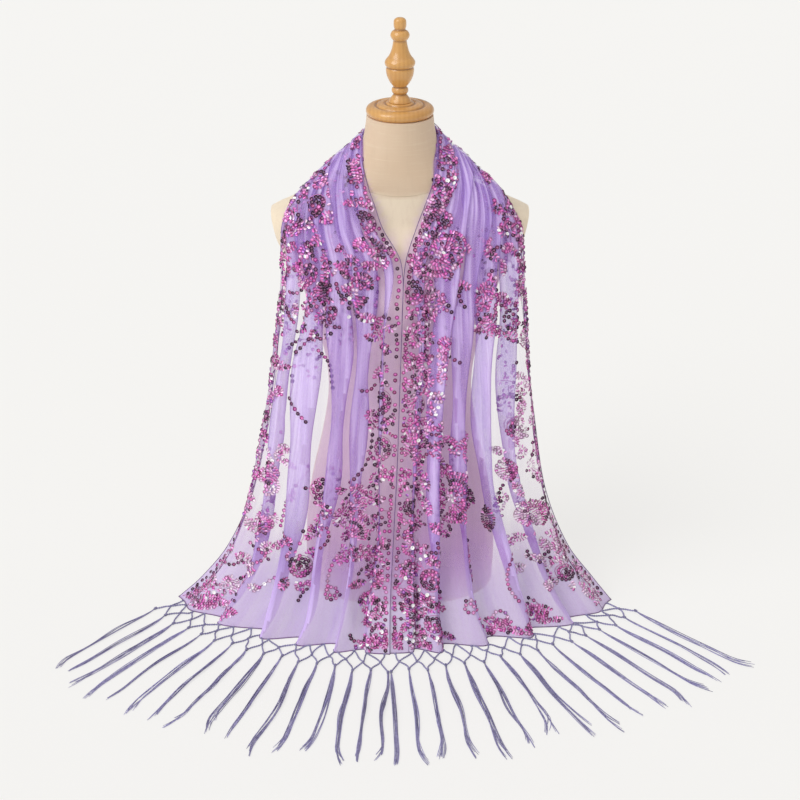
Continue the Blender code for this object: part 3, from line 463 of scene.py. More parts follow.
class Finish:
    """A material being built round its Principled shader."""

    def __init__(self, name, constants):
        self.material = bpy.data.materials.new(name)
        self.material.use_nodes = True
        self.tree = self.material.node_tree
        self.shader = self.tree.nodes["Principled BSDF"]
        for socket, value in constants.items():
            self.shader.inputs[socket].default_value = value

    def node(self, kind, settings=None, sockets=None, output=0):
        """Adds a node: its settings first, then the values or links of its sockets. Gives one output."""
        made = self.tree.nodes.new("ShaderNode" + kind)
        for setting, value in (settings or {}).items():
            setattr(made, setting, value)
        for socket, value in (sockets or {}).items():
            if isinstance(value, Link):
                self.tree.links.new(value.socket, made.inputs[socket])
            else:
                made.inputs[socket].default_value = value
        return Link(self, made.outputs[output])

    def mixed(self, one, other, share, blend="MIX"):
        """A colour between two, or one colour blended onto another. Colours are links or three numbers."""
        one, other = ((*colour, 1) if isinstance(colour, tuple) else colour for colour in (one, other))
        return self.node("Mix", {"data_type": "RGBA", "blend_type": blend}, {0: share, 6: one, 7: other}, 2)

    def layered(self, colour, *layers):
        """A colour with others laid over it, each by its own share."""
        for layer, share in layers:
            colour = self.mixed(colour, layer, share)
        return colour

    def places(self):
        """The flat cloth's own coordinates in metres: across, along."""
        uv = self.node("UVMap", {"uv_map": "cut"})
        return [self.node("SeparateXYZ", {}, {0: uv}, i) for i in (0, 1)]

    def mark(self, name, output="Fac"):
        """A value, or a colour, that is kept on the mesh's points."""
        return self.node("Attribute", {"attribute_name": name}, {}, output)

    def scaled(self, *scale):
        """The place in the object, stretched."""
        place = self.node("TexCoord", {}, {}, "Object")
        return self.node("VectorMath", {"operation": "MULTIPLY"}, {0: place, 1: scale})

    def noise(self, place, scale, detail, roughness):
        sockets = {"Vector": place, "Scale": scale, "Detail": detail, "Roughness": roughness}
        return self.node("TexNoise", {}, sockets)

    def mottled(self, scale, detail, roughness=0.5):
        """Noise that is alike in all directions."""
        return self.noise(self.scaled(1, 1, 1), scale, detail, roughness)

    def drawn_out(self, across, along, detail, roughness):
        """Noise in streaks along the cloth, from one place across and one along."""
        return self.noise(self.node("CombineXYZ", {}, {0: across, 1: along}), 1.0, detail, roughness)

    def feed(self, **links):
        for socket, link in links.items():
            self.tree.links.new(link.socket, self.shader.inputs[socket.replace("_", " ")])

    def raise_by(self, height, depth, strength=1.0):
        """Bump by a height from 0 to 1 and its real depth."""
        self.feed(Normal=self.node("Bump", {}, {"Height": height, "Distance": depth, "Strength": strength}))


def net_finish():
    """Fine hexagonal net of matt nylon, denser where it is gathered. Where it is gathered it also glows a
    little: painted light that lifts the shade in its folds.
    """
    constants = {"Roughness": 0.75, "Sheen Weight": 0.08, "Sheen Roughness": 0.5, "Specular IOR Level": 0.2}
    # The emission strength is a faint painted glow, coloured by the net where it is gathered
    finish = Finish("net_tulle", {**constants, "Emission Strength": 0.11})
    across, along = finish.places()
    pitch = 0.0015
    diagonal = along * (math.sqrt(3) / 2)
    half = across * 0.5
    holes = across.wave(pitch) + (half + diagonal).wave(pitch) + (half - diagonal).wave(pitch)
    threads = 1.0 - holes.between(-1.2, 0.9)
    cloudy = finish.noise(finish.scaled(1, 1, 0.4), 16.0, 4.0, 0.6)
    fine = finish.mottled(420.0, 2.0, 0.6)
    reach, gather, fold, slant, hem = map(finish.mark, ("reach", "gather", "fold", "slant", "hem"))
    narrow = finish.drawn_out(reach * 52.0, along * 6.0, 4.0, 0.6)
    broad = finish.drawn_out(reach * 19.0, along * 4.0, 2.0, 0.5)
    streaks = narrow.between(0.36, 0.64) * 0.38 + broad.between(0.40, 0.60) * 0.62
    cover = 0.03 + threads * 0.16 + gather * 0.22 + slant * 0.30 + fold * 0.16 + hem * 0.60
    cover = cover + (streaks - 0.5) * (0.06 + gather * 0.22 + hem * 0.10)
    thin = finish.mixed((0.340, 0.080, 0.520), (0.440, 0.140, 0.620), cloudy.between(0.35, 0.65))
    thin = finish.mixed(thin, (0.610, 0.490, 0.770), hem * 0.9)
    dense = finish.mixed((0.340, 0.170, 0.640), (0.800, 0.640, 1.000), streaks)
    dense = finish.mixed(dense, (0.640, 0.500, 0.850), hem * 0.8)
    gathered = gather.between(0.0, 0.8)
    colour = finish.layered(
        thin,
        (dense, gathered),
        ((0.480, 0.120, 0.560), fine.between(0.45, 0.75) * 0.15),
        # Painted shade: a dark violet laid along sharp bends of the net, weaker near the hems
        ((0.170, 0.050, 0.320), fold * (0.6 - hem * 0.4)),
    )
    finish.feed(Alpha=cover + (cloudy - 0.5) * 0.10, Roughness=fine.between(0.3, 0.7, 0.5, 0.72))
    # Emission: painted light in the gathered places, standing in for light passing through the layers
    finish.feed(Base_Color=colour, Emission_Color=finish.mixed((0, 0, 0), colour, gathered))
    finish.raise_by(threads, 0.0002, 0.5)
    return finish.material


def yarn_finish(name, dark, light, pitch):
    """Twisted yarn, with its twist along the length of each thread."""
    finish = Finish(name, {"Roughness": 0.6, "Sheen Weight": 0.3, "Sheen Roughness": 0.45})
    round_it, along = finish.places()
    twist = (along + round_it * 0.7).wave(pitch) * 0.5 + 0.5
    mottled = finish.mottled(160.0, 3.0, 0.6)
    # Painted shade: the yarn is darker in the grooves of its twist, where the bump is lowest
    colour = finish.layered(dark, (light, mottled.between(0.3, 0.7)), (dark, (1.0 - twist) * 0.5))
    finish.feed(Base_Color=finish.mixed(colour, finish.mark("tint", "Color"), 0.85, "MULTIPLY"))
    finish.feed(Roughness=mottled.between(0.3, 0.7, 0.5, 0.7))
    finish.raise_by(twist, 0.0003)
    return finish.material


def sequin_finish():
    """Thin plastic sequins, each with its own tint, into which painted shade, highlights and glints are
    mixed.
    """
    constants = {"Metallic": 0.15, "Roughness": 0.3, "Coat Weight": 0.08, "Coat Roughness": 0.1}
    finish = Finish("sequin_foil", {**constants, "Specular IOR Level": 0.25})
    streaks = finish.mottled(700.0, 2.0)
    tint = finish.mark("tint", "Color")
    finish.feed(Base_Color=finish.mixed(tint, (1.0, 0.86, 0.97), streaks.between(0.55, 0.8) * 0.06))
    finish.feed(Roughness=streaks.between(0.3, 0.7, 0.2, 0.36))
    finish.raise_by(streaks, 0.00012, 0.6)
    return finish.material


def linen_finish():
    """Plain natural linen with slubs, pinker on the neck, and painted lilac shade where light comes through
    the net.
    """
    finish = Finish("linen_cover", {"Roughness": 0.9, "Sheen Weight": 0.2, "Sheen Roughness": 0.6})
    round_it, up = finish.places()
    pitch = 0.0011
    weave = (round_it.wave(pitch) * up.wave(pitch)) * 0.5 + 0.5
    slubs = finish.noise(finish.scaled(18, 18, 420), 1.0, 3.0, 0.7)
    warps = finish.noise(finish.scaled(150, 150, 9), 1.0, 3.0, 0.6)
    patches = finish.mottled(9.0, 3.0, 0.6)
    colour = finish.layered(
        (0.960, 0.825, 0.635),
        ((0.765, 0.580, 0.410), finish.mark("neck")),
        ((0.900, 0.780, 0.600), slubs.between(0.5, 0.8) * 0.40),
        ((0.640, 0.480, 0.330), warps.between(0.45, 0.8) * 0.22),
        ((0.880, 0.760, 0.600), patches.between(0.4, 0.8) * 0.35),
        # Painted shade: darker between the threads of the weave, where its bump is lowest
        ((0.480, 0.350, 0.230), (1.0 - weave) * 0.18),
    )
    # Painted shade: the linen is tinted lilac where the net lies over it, for the light that reaches it
    # through the net
    finish.feed(Base_Color=finish.mixed(colour, (1.000, 0.930, 1.350), finish.mark("veiled"), "MULTIPLY"))
    finish.feed(Roughness=slubs.between(0.3, 0.7, 0.82, 0.95))
    finish.raise_by(weave * 0.6 + slubs * 0.5, 0.0004, 0.6)
    return finish.material


def wood_finish():
    """Honey-coloured turned wood under a satin varnish, with painted shade darkening its grooves."""
    finish = Finish("turned_wood", {"Roughness": 0.35, "Coat Weight": 0.6, "Coat Roughness": 0.14})
    bend = finish.noise(finish.scaled(14, 14, 5), 1.0, 2.0, 0.5)
    grain = finish.noise(finish.scaled(320, 320, 30), 1.0, 4.0, 0.65)
    x_place = finish.node("SeparateXYZ", {}, {0: finish.scaled(1, 1, 1)}, 0)
    rings = (x_place + bend * 0.02).wave(0.0062) * 0.5 + 0.5
    colour = finish.layered(
        (0.560, 0.265, 0.066),
        ((0.790, 0.440, 0.135), rings * 0.2 + bend.between(0.3, 0.7) * 0.7),
        ((0.400, 0.180, 0.055), grain.between(0.50, 0.8) * 0.35),
        # Painted shade: darker in the hollows of the turned profile
        ((0.300, 0.125, 0.035), finish.mark("groove") * 0.85),
    )
    finish.feed(Base_Color=colour, Roughness=grain.between(0.3, 0.7, 0.3, 0.48))
    finish.raise_by(grain, 0.00025, 0.4)
    return finish.material


def plain_finish(name, colour, glow):
    """A matt studio surface with a faint mottle, lit partly from within so that shadows stay soft."""
    finish = Finish(name, {"Roughness": 0.95, "Emission Strength": glow, "Emission Color": (*colour, 1)})
    darker, lighter = (tuple(channel * share for channel in colour) for share in (0.99, 1.01))
    finish.feed(Base_Color=finish.mixed(darker, lighter, finish.mottled(3.0, 2.0)))
    return finish.material


# Meshes


def placed(name, mesh):
    """A mesh as an object of the scene, riding the one body."""
    piece = bpy.data.objects.new(name, mesh)
    bpy.context.scene.collection.objects.link(piece)
    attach(piece, BODY)
    return piece


def mark_points(mesh, mark, values):
    mesh.attributes.new(mark, "FLOAT", "POINT").data.foreach_set("value", np.ravel(values))


def new_piece(name, points, faces, material, places=None, tints=None, **marks):
    """A piece of the stole or its form. Places are UVs in metres and marks are values, one a point."""
    mesh = bpy.data.meshes.new(name)
    mesh.from_pydata(np.asarray(points).tolist(), [], faces)
    if places is not None:
        corners = np.empty(len(mesh.loops), np.int32)
        mesh.loops.foreach_get("vertex_index", corners)
        mesh.uv_layers.new(name="cut").data.foreach_set("uv", places[corners].ravel())
    if tints is not None:
        colours = np.column_stack([tints, np.ones(len(points))])
        mesh.color_attributes.new("tint", "FLOAT_COLOR", "POINT").data.foreach_set("color", colours.ravel())
    for mark, values in marks.items():
        mark_points(mesh, mark, values)
    mesh.materials.append(material)
    mesh.shade_smooth()
    mesh.validate()
    return placed(name, mesh)


def grid_faces(rows, columns):
    """The quads of a grid of points, listed row by row."""
    corner = (np.arange(rows - 1)[:, None] * columns + np.arange(columns - 1)).ravel()
    return np.stack([corner, corner + columns, corner + columns + 1, corner + 1], 1).tolist()


def ring_faces(rings, sides):
    """The quads between rings of points that close on themselves, listed ring by ring."""
    corners = [(i * sides + j, i * sides + (j + 1) % sides) for i in range(rings - 1) for j in range(sides)]
    return [(here, after, after + sides, here + sides) for here, after in corners]


class Heap:
    """Many small things, joined into one mesh."""

    def __init__(self):
        self.points, self.faces, self.tints, self.places = [], [], [], []
        self.count = 0

    def tube(self, path, radius, sides, tint=(1, 1, 1)):
        """A tube round a path, closed at both ends."""
        path = np.asarray(path, float)
        ahead = unit(np.gradient(path, axis=0))
        side = np.cross(ahead[0], (0, 0, 1) if abs(ahead[0][2]) < 0.9 else (1, 0, 0))
        turns = full_turn(sides)
        for place, forward, wide, far in zip(path, ahead, np.broadcast_to(radius, len(path)), reached(path)):
            side = side - forward * side.dot(forward)
            side /= np.linalg.norm(side)
            ring = np.cos(turns)[:, None] * side + np.sin(turns)[:, None] * np.cross(forward, side)
            self.points.append(place + wide * ring)
            self.places.append(np.stack([turns * wide, np.full(sides, far)], 1))
        last = (len(path) - 1) * sides
        faces = ring_faces(len(path), sides) + [range(sides - 1, -1, -1), range(last, last + sides)]
        self.faces += [[corner + self.count for corner in face] for face in faces]
        self.tints.append(np.broadcast_to(tint, (last + sides, 3)))
        self.count += last + sides

    def piece(self, name, material):
        points, places, tints = (np.concatenate(values) for values in (self.points, self.places, self.tints))
        return new_piece(name, points, self.faces, material, places, tints)


# The dress form


def form_points(heights):
    """A superellipse round the form at each height, and the UVs of its points with the first one twice."""
    rings = np.array(FORM_RINGS)
    half_width, front, back, squareness = smooth_between(rings[:, 0], rings[:, 1:], heights).T[..., None]
    turn = full_turn(FORM_SIDES)
    across, along = np.cos(turn), np.sin(turn)
    power = 2 / squareness
    depth = np.where(along > 0, back, front)
    x = half_width * np.sign(across) * np.abs(across) ** power
    y = depth * np.sign(along) * np.abs(along) ** power
    up = np.broadcast_to(heights[:, None], x.shape)
    round_it = turn * 0.5 * (half_width + 0.5 * (front + back))
    round_it = np.column_stack([round_it, round_it[:, -1] + round_it[:, 1]])
    levels = np.broadcast_to(heights[:, None], round_it.shape)
    return np.stack([x, y, up], 2), np.stack([round_it, levels], 2)


def cut_arm_plate(bm, uv, side):
    """Cuts one of the form's shoulders flat, and sinks the plate a little inside its rim."""
    outwards = Vector((side * math.cos(ARM_PLATE_TILT), 0, -math.sin(ARM_PLATE_TILT)))
    faces = [face for face in bm.faces if face.calc_center_median().z > ARM_PLATE_FOOT]
    edges = list(dict.fromkeys(edge for face in faces for edge in face.edges))
    corners = list(dict.fromkeys(vert for face in faces for vert in face.verts))
    cut = bmesh.ops.bisect_plane(
        bm,
        geom=corners + edges + faces,
        plane_co=(side * ARM_PLATE_REACH, 0, ARM_PLATE_HEIGHT),
        plane_no=outwards,
        clear_outer=True,
    )
    rim = [part for part in cut["geom_cut"] if isinstance(part, bmesh.types.BMEdge)]
    plate = bmesh.ops.holes_fill(bm, edges=rim, sides=0)["faces"]
    for loop in (loop for face in plate for loop in face.loops):
        loop[uv].uv = loop.vert.co.yz
    bmesh.ops.inset_region(bm, faces=plate, thickness=ARM_PLATE_RIM, depth=0.0, use_even_offset=True)
    for vert in (vert for face in plate for vert in face.verts):
        vert.co -= outwards * ARM_PLATE_DEPTH


def form_cover(material):
    """The form's covered torso and neck, whole and closed, with its two arm plates cut flat."""
    points, places = form_points(divided([ring[0] for ring in FORM_RINGS], FORM_RING_STEP, 2))
    bm = bmesh.new()
    uv = bm.loops.layers.uv.new("cut")
    verts = [[bm.verts.new(point) for point in ring] for ring in points]
    for i, j in np.ndindex(len(points) - 1, FORM_SIDES):
        spots = ((i, j), (i, j + 1), (i + 1, j + 1), (i + 1, j))
        face = bm.faces.new([verts[row][column % FORM_SIDES] for row, column in spots])
        for loop, spot in zip(face.loops, spots):
            loop[uv].uv = places[spot]
    bm.faces.new(reversed(verts[0]))
    bm.faces.new(verts[-1])
    for side in (-1, 1):
        cut_arm_plate(bm, uv, side)
    bmesh.ops.recalc_face_normals(bm, faces=bm.faces[:])
    tree = BVHTree.FromBMesh(bm)
    mesh = bpy.data.meshes.new("form_cover")
    bm.to_mesh(mesh)
    bm.free()
    spots = np.array([vert.co for vert in mesh.vertices])
    seam = NECK_SEAM_FRONT + NECK_SEAM_RISE * spots[:, 0] ** 2
    mark_points(mesh, "neck", ease(-0.003, 0.003, spots[:, 2] - seam))
    mesh.materials.append(material)
    mesh.shade_smooth()
    mesh.set_sharp_from_angle(angle=SHARP_EDGE)
    return placed("form_cover", mesh), tree


def veil(cover, cloth):
    """Marks how much of each place on the form lies under the net, softly at the net's edges."""
    veiled = []
    for vert in cover.data.vertices:
        ways = [(vert.normal + Vector(slant)).normalized() for slant in VEIL_WAYS]
        start = vert.co + vert.normal * 0.0005
        hits = [cloth.tree.ray_cast(start, way, VEIL_REACH)[0] is not None for way in ways]
        veiled.append(sum(hits) / len(ways))
    # This mark paints lilac shade into the linen's colour
    mark_points(cover.data, "veiled", veiled)


def neck_seam(tree, material):
    """The sewn line between the neck and the torso: a low ridge, lying on the form."""
    path = []
    for turn in np.linspace(0, math.tau, FORM_SIDES + 1):
        out = Vector((math.cos(turn), math.sin(turn), 0))
        height = NECK_SEAM_FRONT
        for _ in range(8):
            spot, normal, _, _ = tree.ray_cast(Vector((0, 0, height)), out, 0.4)
            height = NECK_SEAM_FRONT + min(NECK_SEAM_RISE * spot.x**2, NECK_SEAM_MOST)
        path.append(spot + normal * 0.0001)
    heap = Heap()
    heap.tube(path, NECK_SEAM_RADIUS, 6, (1.0, 0.98, 0.95))
    return heap.piece("neck_seam", material)


def turned_piece(name, profile, foot, material):
    """A piece turned on the form's axis, marked where its profile is hollow, for the painted shade of its
    grooves.
    """
    line = np.array(profile)[:-1]
    far = reached(line)
    curve = smooth_between(far, line, divided(far, LATHE_STEP, 3))
    curve[:, 0] = np.maximum(curve[:, 0], 0.0)
    bend = np.gradient(np.unwrap(np.arctan2(*np.gradient(curve, axis=0).T[::-1])))
    hollow = np.clip(softened(bend * 3.0, 1), 0, 1)
    turns = full_turn(LATHE_SIDES)
    radii, heights = curve[1:, :1], np.broadcast_to(curve[1:, 1:] + foot, (len(curve) - 1, LATHE_SIDES))
    points = np.stack([radii * np.cos(turns), radii * np.sin(turns), heights], 2).reshape(-1, 3)
    top, bottom = len(points), len(points) + 1
    faces = [(a, d, c, b) for a, b, c, d in ring_faces(len(radii), LATHE_SIDES)]
    around = [(j, (j + 1) % LATHE_SIDES) for j in range(LATHE_SIDES)]
    faces += [(here, after, top) for here, after in around]
    faces += [(top - LATHE_SIDES + after, top - LATHE_SIDES + here, bottom) for here, after in around]
    points = np.concatenate([points, [(0, 0, curve[0, 1] + foot), (0, 0, curve[-1, 1] + foot)]])
    marks = np.concatenate([np.repeat(hollow[1:], LATHE_SIDES), [0, 0]])
    return new_piece(name, points, faces, material, groove=marks)


# The stole


class Cloth:
    """The folded net, as a grid of points: a row for each place along it, a column for each place across."""

    def __init__(self, form):
        self.form = form
        sections = np.array(STOLE)
        self.inner, self.outer, self.round = sections[:, :3], sections[:, 3:6], sections[:, 6]
        steps = sum(np.linalg.norm(np.diff(edge, axis=0), axis=1) for edge in (self.inner, self.outer))
        self.at = np.concatenate([[0], np.cumsum(steps / 2)])
        self.length = self.at[-1]
        ends = [self.at[i] for i in (0, LEFT_SEAM, RIGHT_SEAM, LAST_ROW)]
        self.cuts = [0]
        rows = [np.array([0.0])]
        for low, high in zip(ends, ends[1:]):
            count = round((high - low) / ROW_STEP)
            rows.append(low + (high - low) * np.arange(1, count + 1) / count)
            self.cuts.append(self.cuts[-1] + count)
        self.along = np.concatenate(rows)
        self.fold()
        self.measure()
        self.crease()
        self.clear()
        self.measure()
        self.tree = BVHTree.FromPolygons(self.grid.reshape(-1, 3).tolist(), grid_faces(*self.grid.shape[:2]))

    def base(self, along, across):
        """The arcs that the sections would have with no folds."""
        known = (self.inner, self.outer, self.round)
        inner, outer, roundness = (smooth_between(self.at, values, along) for values in known)
        inner, reach, roundness = inner[:, None], (outer - inner)[:, None], roundness[:, None, None]
        across = across[..., None]
        quarter = across * math.pi / 2
        arc = reach * (1, 0, 0) * np.sin(quarter) + reach * (0, 1, 1) * (1 - np.cos(quarter))
        return inner + reach * across * (1 - roundness) + arc * roundness

    def outwards(self, along, across):
        """The unit vectors out of the unfolded stole, away from the form."""
        step = 0.002
        before, after = np.maximum(along - step, 0), np.minimum(along + step, self.length)
        lengthwise = self.base(after, across) - self.base(before, across)
        inwards, onwards = np.maximum(across - 0.01, 0), np.minimum(across + 0.01, 1)
        out = unit(np.cross(lengthwise, self.base(along, onwards) - self.base(along, inwards)))
        here = self.base(along, across)
        from_middle = here * (1, 1, 0) + (0, -0.02, 0.08)
        out = np.where(np.sum(out * from_middle, -1, keepdims=True) < 0, -out, out)
        out[..., 2] *= ease(0.0, 0.05, here[..., 2])
        return unit(out)

    def form_height(self, base, out):
        """How far out the form lies from each point, towards the outside."""
        height = np.full(base.shape[:2], -FORM_SEARCH)
        for i, j in np.ndindex(*height.shape):
            direction = Vector(out[i, j])
            start = Vector(base[i, j]) + direction * FORM_SEARCH
            spot, normal, _, distance = self.form.ray_cast(start, -direction, FORM_SEARCH + 0.02)
            if spot is not None:
                height[i, j] = FORM_SEARCH - distance + FORM_CLEARANCE / max(normal.dot(direction), 0.4)
        return height

    def columns(self, table):
        """A fold table's columns at every row of the grid."""
        rows = np.array(table)
        return smooth_between(np.interp(rows[:, 0], np.arange(len(STOLE)), self.at), rows[:, 1:], self.along)

    def fold(self):
        """Lays the unfolded sections in six leaning pleats, so that each row has the cloth's full width."""
        sections = np.linspace(-EDGE_ROOM, 1 + EDGE_ROOM, SECTION_PLACES)
        wide = np.broadcast_to(sections, (len(self.along), SECTION_PLACES))
        base = self.base(self.along, wide)
        out = self.outwards(self.along, np.clip(wide, 0, 1))
        height = self.form_height(base, out)

        def at_places(values, across):
            """Values known at the sections' places, at other places across."""
            spot = (np.clip(across, -EDGE_ROOM, 1 + EDGE_ROOM) + EDGE_ROOM) / (sections[1] - sections[0])
            low = np.minimum(spot.astype(int), SECTION_PLACES - 2)
            part = spot - low
            if values.ndim == 3:
                low, part = low[..., None], part[..., None]
            before, after = (np.take_along_axis(values, low + step, 1) for step in (0, 1))
            return before * (1 - part) + after * part

        folds = np.arange(len(FOLD_DEPTHS))
        turned = self.along[:, None] * math.tau
        table = self.columns(FOLDS)
        crests = table[:, :-1] + FOLD_WANDER * np.sin(turned / 0.33 + 1.9 * folds)
        fullness = self.columns(FULLNESS) * (1 + FULLNESS_CHANGE * np.sin(turned / 0.21 + 2.3 * folds))
        crests = np.concatenate([-crests[:, :1], crests, 2 - crests[:, -1:]], 1)
        gaps = np.diff(crests, axis=1)
        room = np.minimum(gaps[:, :-1], gaps[:, 1:]) * fullness
        room = np.concatenate([-room[:, :1], room, -room[:, -1:]], 1)
        at_edge = 2 * EDGE_SHARE - 1
        depth = table[:, -1:] * np.array([at_edge * FOLD_DEPTHS[0], *FOLD_DEPTHS, at_edge * FOLD_DEPTHS[-1]])
        place = 0.5 + np.arange(len(FOLD_DEPTHS) * FOLD_FACETS + 1) / FOLD_FACETS
        k = np.minimum(place.astype(int), crests.shape[1] - 2)
        t = place - k
        known = (crests, room, depth)
        across, room, depth = (values[:, k] + (values[:, k + 1] - values[:, k]) * t for values in known)
        swing = np.cos(math.tau * t)

        def leaned(lean):
            """Each column's place across with the pleats leaning so far, a value for each row."""
            lean = lean[:, None]
            return across + room * (lean * swing - 0.25 * ease(0, 0.35, lean))

        def laid(lean):
            """The grid with its pleats leaning so far."""
            shifted = leaned(lean)
            low = np.maximum(at_places(height, shifted), -np.abs(depth))
            high = np.maximum(np.abs(depth), low + PLEAT_STACK)
            share = (swing * np.sign(depth + 1e-9) + 1) / 2
            lift = low + (high - low) * share
            return at_places(base, shifted) + at_places(out, shifted) * lift[..., None]

        least, most = np.zeros(len(self.along)), np.full(len(self.along), MOST_LEAN)
        for _ in range(13):
            middle = (least + most) / 2
            widths = np.linalg.norm(np.diff(laid(middle), axis=1), axis=2).sum(1)
            least = np.where(widths < CUT_WIDTH, middle, least)
            most = np.where(widths < CUT_WIDTH, most, middle)
        lean = softened(softened((least + most) / 2, 6), 6)
        self.grid = laid(lean)
        self.reach = leaned(lean)
        self.out = at_places(out, self.reach)
        low, high = self.reach[:, :-1], self.reach[:, 1:]
        over = [((low - at) * (high - at) < 0).sum(1) for at in self.reach.T[..., None]]
        self.layers = 1 + np.stack(over, 1)  # of the net, one over the other, at each point

    def measure(self):
        """How far across each point lies, its directions, and how sharply the cloth bends there."""
        steps = np.linalg.norm(np.diff(self.grid, axis=1), axis=2)
        self.arc = np.concatenate([np.zeros((len(steps), 1)), np.cumsum(steps, 1)], 1)
        self.sideways = unit(np.gradient(self.grid, axis=1))
        self.lengthwise = unit(np.gradient(self.grid, axis=0))
        self.normal = unit(np.cross(self.lengthwise, self.sideways))
        if np.sum(self.normal * self.grid * (1, 1, 0.2)) < 0:
            self.normal = -self.normal
        turn = np.linalg.norm(np.gradient(self.sideways, axis=1), axis=2)
        self.bend = turn / np.maximum(np.gradient(self.arc, axis=1), 1e-5)

    def from_hem(self):
        """How far each row lies from the nearer hem."""
        return np.minimum(self.along, self.length - self.along)[:, None]

    def crease(self):
        """Presses the soft creases and a faint unevenness into the grid."""
        flat = np.stack([self.arc, np.broadcast_to(self.along[:, None], self.arc.shape)], 2)
        push = np.zeros(self.arc.shape)
        for *ends, depth, width in CREASES:
            start, end = np.reshape(ends, (2, 2))
            line = end - start
            share = np.clip((flat - start) @ line / line.dot(line), 0, 1)
            away = np.linalg.norm(flat - start - share[..., None] * line, axis=2)
            fade = ease(0, 0.25, share) * ease(0, 0.25, 1 - share)
            push += depth * fade * np.exp(-((away / width) ** 2))
        s, t = flat[..., 0], flat[..., 1]
        push += 0.0006 * np.sin(61 * s + 17 * t) * np.sin(23 * t + 5 * np.sin(31 * s))
        push *= ease(0.0, 0.05, self.from_hem())
        self.grid = self.grid + self.normal * push[..., None]

    def clear(self):
        """Moves points that creasing has brought too close to the form, and keeps the hems on the floor."""
        for i, j in np.ndindex(*self.arc.shape):
            point = Vector(self.grid[i, j])
            spot, normal, _, distance = self.form.find_nearest(point, 0.012)
            if spot is not None:
                short = FORM_CLEARANCE * 0.8 - (point - spot).dot(normal)
                if short > 0:
                    self.grid[i, j] = point + normal * short
        self.grid[..., 2] = np.maximum(self.grid[..., 2], 0.0)
        self.grid[0, :, 2] = self.grid[-1, :, 2] = 0.0

    def stretch(self, name, number, material):
        """One stretch of the net as a piece: 0 is the left fall, 1 the nape, 2 the right fall."""
        rows = slice(self.cuts[number], self.cuts[number + 1] + 1)
        grid = self.grid[rows]
        shape = grid.shape[:2]
        places = np.stack([self.arc[rows], np.broadcast_to(self.along[rows, None], shape)], 2)
        return new_piece(
            name,
            grid.reshape(-1, 3),
            grid_faces(*shape),
            material,
            places.reshape(-1, 2),
            reach=self.reach[rows],
            gather=np.clip((self.layers[rows] - 1) / 2, 0, 1),
            # fold: how sharply the net bends there; it thickens the net, and darkens its colour as painted
            # shade
            fold=np.clip(self.bend[rows] * 0.0024, 0, 1),
            slant=1 - np.abs(np.sum(self.normal[rows] * self.out[rows], -1)),
            hem=np.broadcast_to(1 - ease(0.07, 0.23, self.from_hem()[rows]), shape),
        )

    def spot(self, across, along):
        """The point, the normal and the lengthwise direction at a place of the flat cloth."""
        row = np.interp(along, self.along, np.arange(len(self.along)))
        low = min(int(row), len(self.along) - 2)
        part = row - low
        found = []
        for i, share in ((low, 1 - part), (low + 1, part)):
            scale = self.arc[i, -1] / CUT_WIDTH
            column = np.interp(across * scale, self.arc[i], np.arange(self.arc.shape[1]))
            j = min(int(column), self.arc.shape[1] - 2)
            rest = column - j
            for values in (self.grid, self.normal, self.lengthwise, self.out, self.sideways):
                found.append(share * (values[i, j] * (1 - rest) + values[i, j + 1] * rest))
        point, normal, lengthwise, self.facing, self.crosswise = (found[i] + found[i + 5] for i in range(5))
        normal = unit(normal)
        return point, normal, unit(lengthwise - normal * lengthwise.dot(normal))

    def covered(self, point):
        """Whether another layer lies over the place that was found last."""
        start = Vector(point + self.facing * 0.0012)
        return self.tree.ray_cast(start, Vector(self.facing), 0.03)[0] is not None

    def lifted(self, places, lift):
        """Points a little off the cloth, at places of the flat cloth."""
        spots = [self.spot(*place) for place in places]
        return np.array([point + normal * lift for point, normal, _ in spots])

    def line(self, across, start, end, step, lift=0.0):
        """A line along the cloth at one distance from its inner edge."""
        at = np.linspace(start, end, max(2, round((end - start) / step)))
        line = self.lifted([(across, place) for place in at], lift)
        line[:, 2] = np.maximum(line[:, 2], HEM_LIFT)
        return line


# Fringe


class HemLine:
    """The unfolded hem, from its end at the centre to its corner, measured by its own length."""

    def __init__(self, cloth, along, side):
        self.side = side
        self.points = cloth.base(np.array([along]), np.linspace(0, 1, 61)[None])[0][:, :2]
        self.reached = reached(self.points)

    def heading(self, share):
        """The direction over the floor in which the fringe lies, at a share of the hem."""
        turned = math.sin(min(max(share, 0), 1) * math.pi / 2) ** 1.6
        turn = SWEEP_AT_CENTRE + (SWEEP_AT_CORNER[self.side] - SWEEP_AT_CENTRE) * turned
        return np.array([self.side * math.sin(turn), -math.cos(turn)])

    def place(self, share, outwards):
        at = min(max(share, 0), 1) * self.reached[-1]
        point = np.array([np.interp(at, self.reached, self.points[:, i]) for i in (0, 1)])
        return point + self.heading(share) * outwards


def plied(heap, path, radius, pitch, tint):
    """Two yarns twisted round each other along a path."""
    far = reached(path)
    at = np.linspace(0, far[-1], max(6, round(far[-1] / pitch * 5)))
    line = np.stack([np.interp(at, far, path[:, i]) for i in range(3)], 1)
    ahead = unit(np.gradient(line, axis=0))
    side = unit(np.cross(ahead, (0, 0, 1)))
    up = np.cross(side, ahead)
    for start in (0, math.pi):
        turn = (start + at / pitch * math.tau)[:, None]
        heap.tube(line + radius * 0.85 * (np.cos(turn) * side + np.sin(turn) * up), radius, 4, tint)


